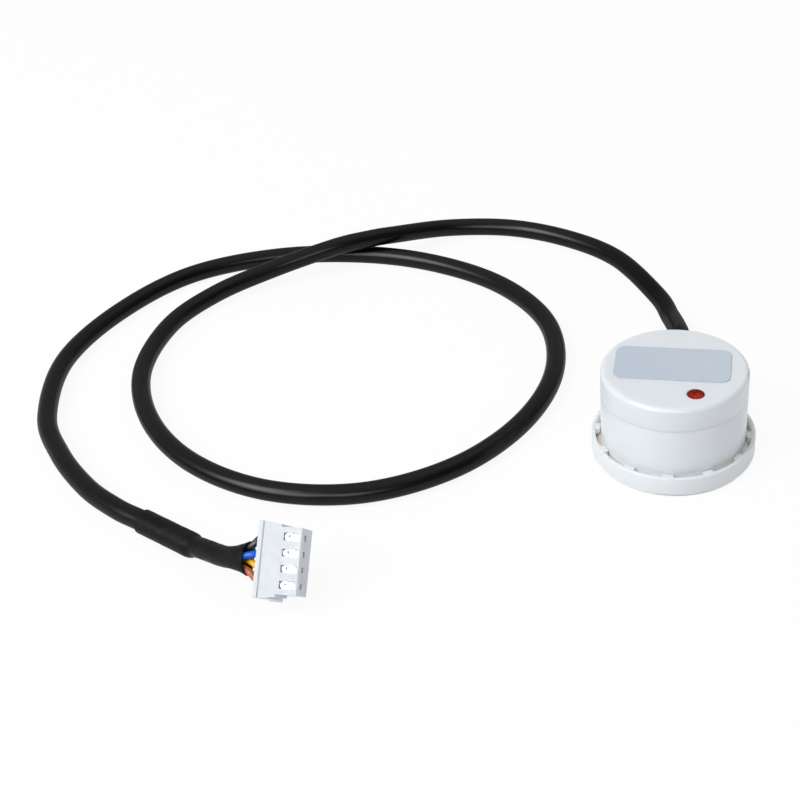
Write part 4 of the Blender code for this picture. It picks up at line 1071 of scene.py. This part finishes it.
def make_plug():
    """Flanged nylon plug body with its windows, cavities, pin holes, lip and key tab."""
    size = (FLANGE, 2.0 * PLUG_HALF, PLUG_THICK)
    body = block("plug_body", size, (0.5 * FLANGE, 0.0, 0.0), NYLON)
    for corner in body.data.vertices:
        if corner.co.x > 0.5 * FLANGE:
            corner.co.y -= math.copysign(FLANGE_TAPER, corner.co.y)
    nose_start = 1.8 * MM
    nose_high, nose_rise = 5.05 * MM, 0.35 * MM
    nose = block("nose", (PLUG_LENGTH - nose_start, 2.0 * NOSE_HALF, nose_high),
                 (0.5 * (PLUG_LENGTH + nose_start), 0.0, nose_rise))
    lip_size = (LIP, 2.0 * PLUG_HALF - PLUG_EDGE, PLUG_THICK + 2.0 * LIP_PROUD)
    lip = block("lip", lip_size, (0.5 * LIP, 0.0, 0.0))
    tab = block("tab", (TAB, FLANGE_TAPER + 2.0 * TAB_PROUD, TAB_WIDE),
                (FLANGE - 0.5 * TAB, 0.5 * FLANGE_TAPER - PLUG_HALF, 0.0))
    for part in (nose, lip, tab):
        cut(body, part, "UNION")
    rounded(body, 0.13 * MM)
    end = PLUG_LENGTH - FRONT_WALL
    past = 5.0 * MM
    cavity = (end + past, 1.9 * MM, 2.7 * MM)
    window = (WINDOW, 1.2 * MM, PLUG_THICK - 2.0 * WAY_RISE)
    pin_hole = (PLUG_LENGTH, 0.9 * MM, 0.9 * MM)
    for number in range(WAYS):
        y = (HALF_ROW - number) * PITCH
        cut(body, block("cavity", cavity, (0.5 * (end - past), y, WAY_RISE)))
        cut(body, block("window", window, (end - 0.5 * WINDOW, y, 0.5 * PLUG_THICK)))
        cut(body, block("pin_hole", pin_hole, (PLUG_LENGTH, y, WAY_RISE)))
    body.data.transform(POSE)
    soften(body, 30.0)
    return finished(body, "sensor", "white_nylon", "connector_housing")


def make_terminals():
    """One folded tin terminal, repeated in the plug's four ways."""
    length, width, height = 3.0 * MM, 1.5 * MM, 2.4 * MM
    sheet = 0.2 * MM
    strip_width = 0.68 * MM
    crimp_start, crimp_end = 0.8 * MM, 2.1 * MM
    front = PLUG_LENGTH - 0.45 * MM
    back = front - length
    strip_end = back + 0.22 * MM
    inner = WIRE_R + SNUG
    outer = inner + sheet
    body = block("crimp_terminals", (length, width, height), (0.5 * (front + back), 0.0, 0.0), TIN)
    rounded(body, 0.12 * MM)
    strip = block("strip", (strip_end - crimp_start, strip_width, sheet),
                  (0.5 * (crimp_start + strip_end), 0.0, -0.5 * (outer + inner)))
    heel = block("heel", (0.44 * MM, strip_width, 0.5 * (height - outer)),
                 (back, 0.0, -0.25 * (height + outer + inner)))
    barrel = [(inner, crimp_end), (outer, crimp_end), (outer, crimp_start), (inner, crimp_start)]
    bm = turning(barrel, 32, closed=True)
    bmesh.ops.transform(bm, matrix=Matrix.Rotation(0.5 * math.pi, 4, "Y"), verts=bm.verts)
    crimp = piece("crimp", bm, None)
    window_start = PLUG_LENGTH - FRONT_WALL - WINDOW
    lance = block("lance", (0.8 * MM, 0.75 * MM, 0.8 * MM),
                  (window_start + 0.45 * MM, 0.0, 0.5 * height))
    rounded(lance, 0.06 * MM, 2)
    for part in (strip, heel, crimp, lance):
        cut(body, part, "UNION")
    cut(body, block("bore", (5.56 * MM, 1.06 * MM, 1.96 * MM), (front, 0.0, 0.0)))
    body.data.transform(Matrix.Translation((0.0, HALF_ROW * PITCH, WAY_RISE)))
    run_tree(body, row_tree(), {"Ways": WAYS, "Pitch": PITCH, "Metal": TIN})
    body.data.transform(POSE)
    soften(body, 30.0)
    return finished(body, "sensor", "tinned_brass",
                    "terminal_1", "terminal_2", "terminal_3", "terminal_4")


def paint_inner_nodes():
    """Finishes for the CAD nodes that stay as they are, sealed inside the head."""
    finishes = {"circuit_board": LAMINATE, "sensing_electrode": COPPER, "potting_resin": RESIN,
                "filter_capacitor": CERAMIC, "smoothing_capacitor": CAN}
    for name in ("touch_chip", "voltage_regulator", "output_transistor", "protection_diode",
                 "led_resistor", "pull_up_resistor", "timing_resistor"):
        finishes[name] = CHIP
    for colour, tones in WIRE_TONES.items():
        finishes["lead_" + colour] = insulation("lead_%s_skin" % colour, *tones, mapped=False)
    for name, finish in finishes.items():
        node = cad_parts[name]
        node.data.materials.clear()
        node.data.materials.append(finish)


# Stage

def make_floor():
    """White floor that shows plain white to the camera and keeps a little of the shadow."""
    shade = Shade("white_floor", (0.92, 0.92, 0.92), 0.9)
    ray = shade.node("ShaderNodeLightPath", out=None)
    others = 0.9 * ray["Is Glossy Ray"] + 0.9 * ray["Is Transmission Ray"]
    amount = 0.92 * ray["Is Camera Ray"] + others
    glow = shade.node("ShaderNodeEmission", None, (1.0, 1.0, 1.0), 1.0)
    painted = Link(shade, shade.surface.outputs[0])
    shade.put(shade.tree.nodes["Material Output"].inputs["Surface"],
              shade.node("ShaderNodeMixShader", None, amount.clamped(), painted, glow))
    bm = bmesh.new()
    bmesh.ops.create_grid(bm, x_segments=1, y_segments=1, size=3.0)
    piece("floor", bm, shade.material)


def make_world():
    """Even soft light, plain white to the camera; shine shows a backdrop and a front softbox."""
    world = bpy.data.worlds.new("studio")
    bpy.context.scene.world = world
    world.use_nodes = True
    sky = Tree(world.node_tree)
    ray = sky.node("ShaderNodeLightPath", out=None)
    background = world.node_tree.nodes["Background"]
    sky.put(background.inputs["Color"], (1.0, 1.0, 1.0))
    x, y, z = sky.parts(sky.node("ShaderNodeTexCoord", out="Object"))
    backdrop = sky.node("ShaderNodeMapRange", SMOOTH, y - 0.6 * x, -0.9, 0.5, -0.33, 0.14)
    front_x, front_y = -0.375, -0.927
    across = 1.5 * (front_x * y - front_y * x)
    upward = 4.6 * (z - 0.48)
    spread_out = across * across + upward * upward
    in_front = sky.node("ShaderNodeMapRange", SMOOTH, front_x * x + front_y * y, 0.2, 0.5, 0.0, 1.0)
    strip = sky.node("ShaderNodeMapRange", SMOOTH, spread_out, 1.4, 0.4, 0.0, 7.0)
    seen = ray["Is Camera Ray"] + ray["Is Transmission Ray"]
    shine = (backdrop + in_front * strip) * ray["Is Glossy Ray"]
    sky.put(background.inputs["Strength"], 0.45 + 0.55 * seen + shine)


def softbox(name, spot, target, size, power):
    """Rectangular light at a spot, turned to its target."""
    light = bpy.data.lights.new(name, "AREA")
    light.shape = "RECTANGLE"
    light.size = size[0]
    light.size_y = size[1]
    light.energy = power
    obj = linked(name, light)
    obj.location = spot
    obj.rotation_euler = (Vector(target) - Vector(spot)).to_track_quat("-Z", "Y").to_euler()


def make_camera():
    """The camera fitted to the outlines in the photo."""
    right = Vector((0.97468, 0.20741, -0.08360))
    down = Vector((0.05198, -0.57374, -0.81734))
    forward = Vector((-0.21749, 0.79230, -0.57000))
    camera = bpy.data.cameras.new("view")
    camera.lens = 67.0
    camera.sensor_width = 36.0
    camera.clip_start = 0.01
    camera.clip_end = 20.0
    obj = linked("view", camera)
    columns = Matrix((right, -down, -forward)).transposed().to_4x4()
    obj.matrix_world = Matrix.Translation((0.00977, -0.21154, 0.15939)) @ columns
    bpy.context.scene.camera = obj


def main():
    bpy.context.scene.view_settings.view_transform = "Standard"
    make_cover()
    make_cup()
    make_ring()
    make_pad()
    make_label()
    make_lamp()
    boot = make_boot()
    jacket, line = make_cable()
    wires = make_wires()
    sleeve = make_sleeve()
    plug = make_plug()
    terminals = make_terminals()
    paint_inner_nodes()
    length = sum((second - first).length for first, second in zip(line, line[1:]))
    make_floor()
    make_world()
    middle = (-0.05, 0.02, 0.0)
    softbox("key", (-0.56, -0.44, 0.66), middle, (0.42, 0.42), 5.0)
    softbox("overhead", (-0.05, 0.05, 0.95), middle, (1.2, 1.2), 2.2)
    make_camera()


main()
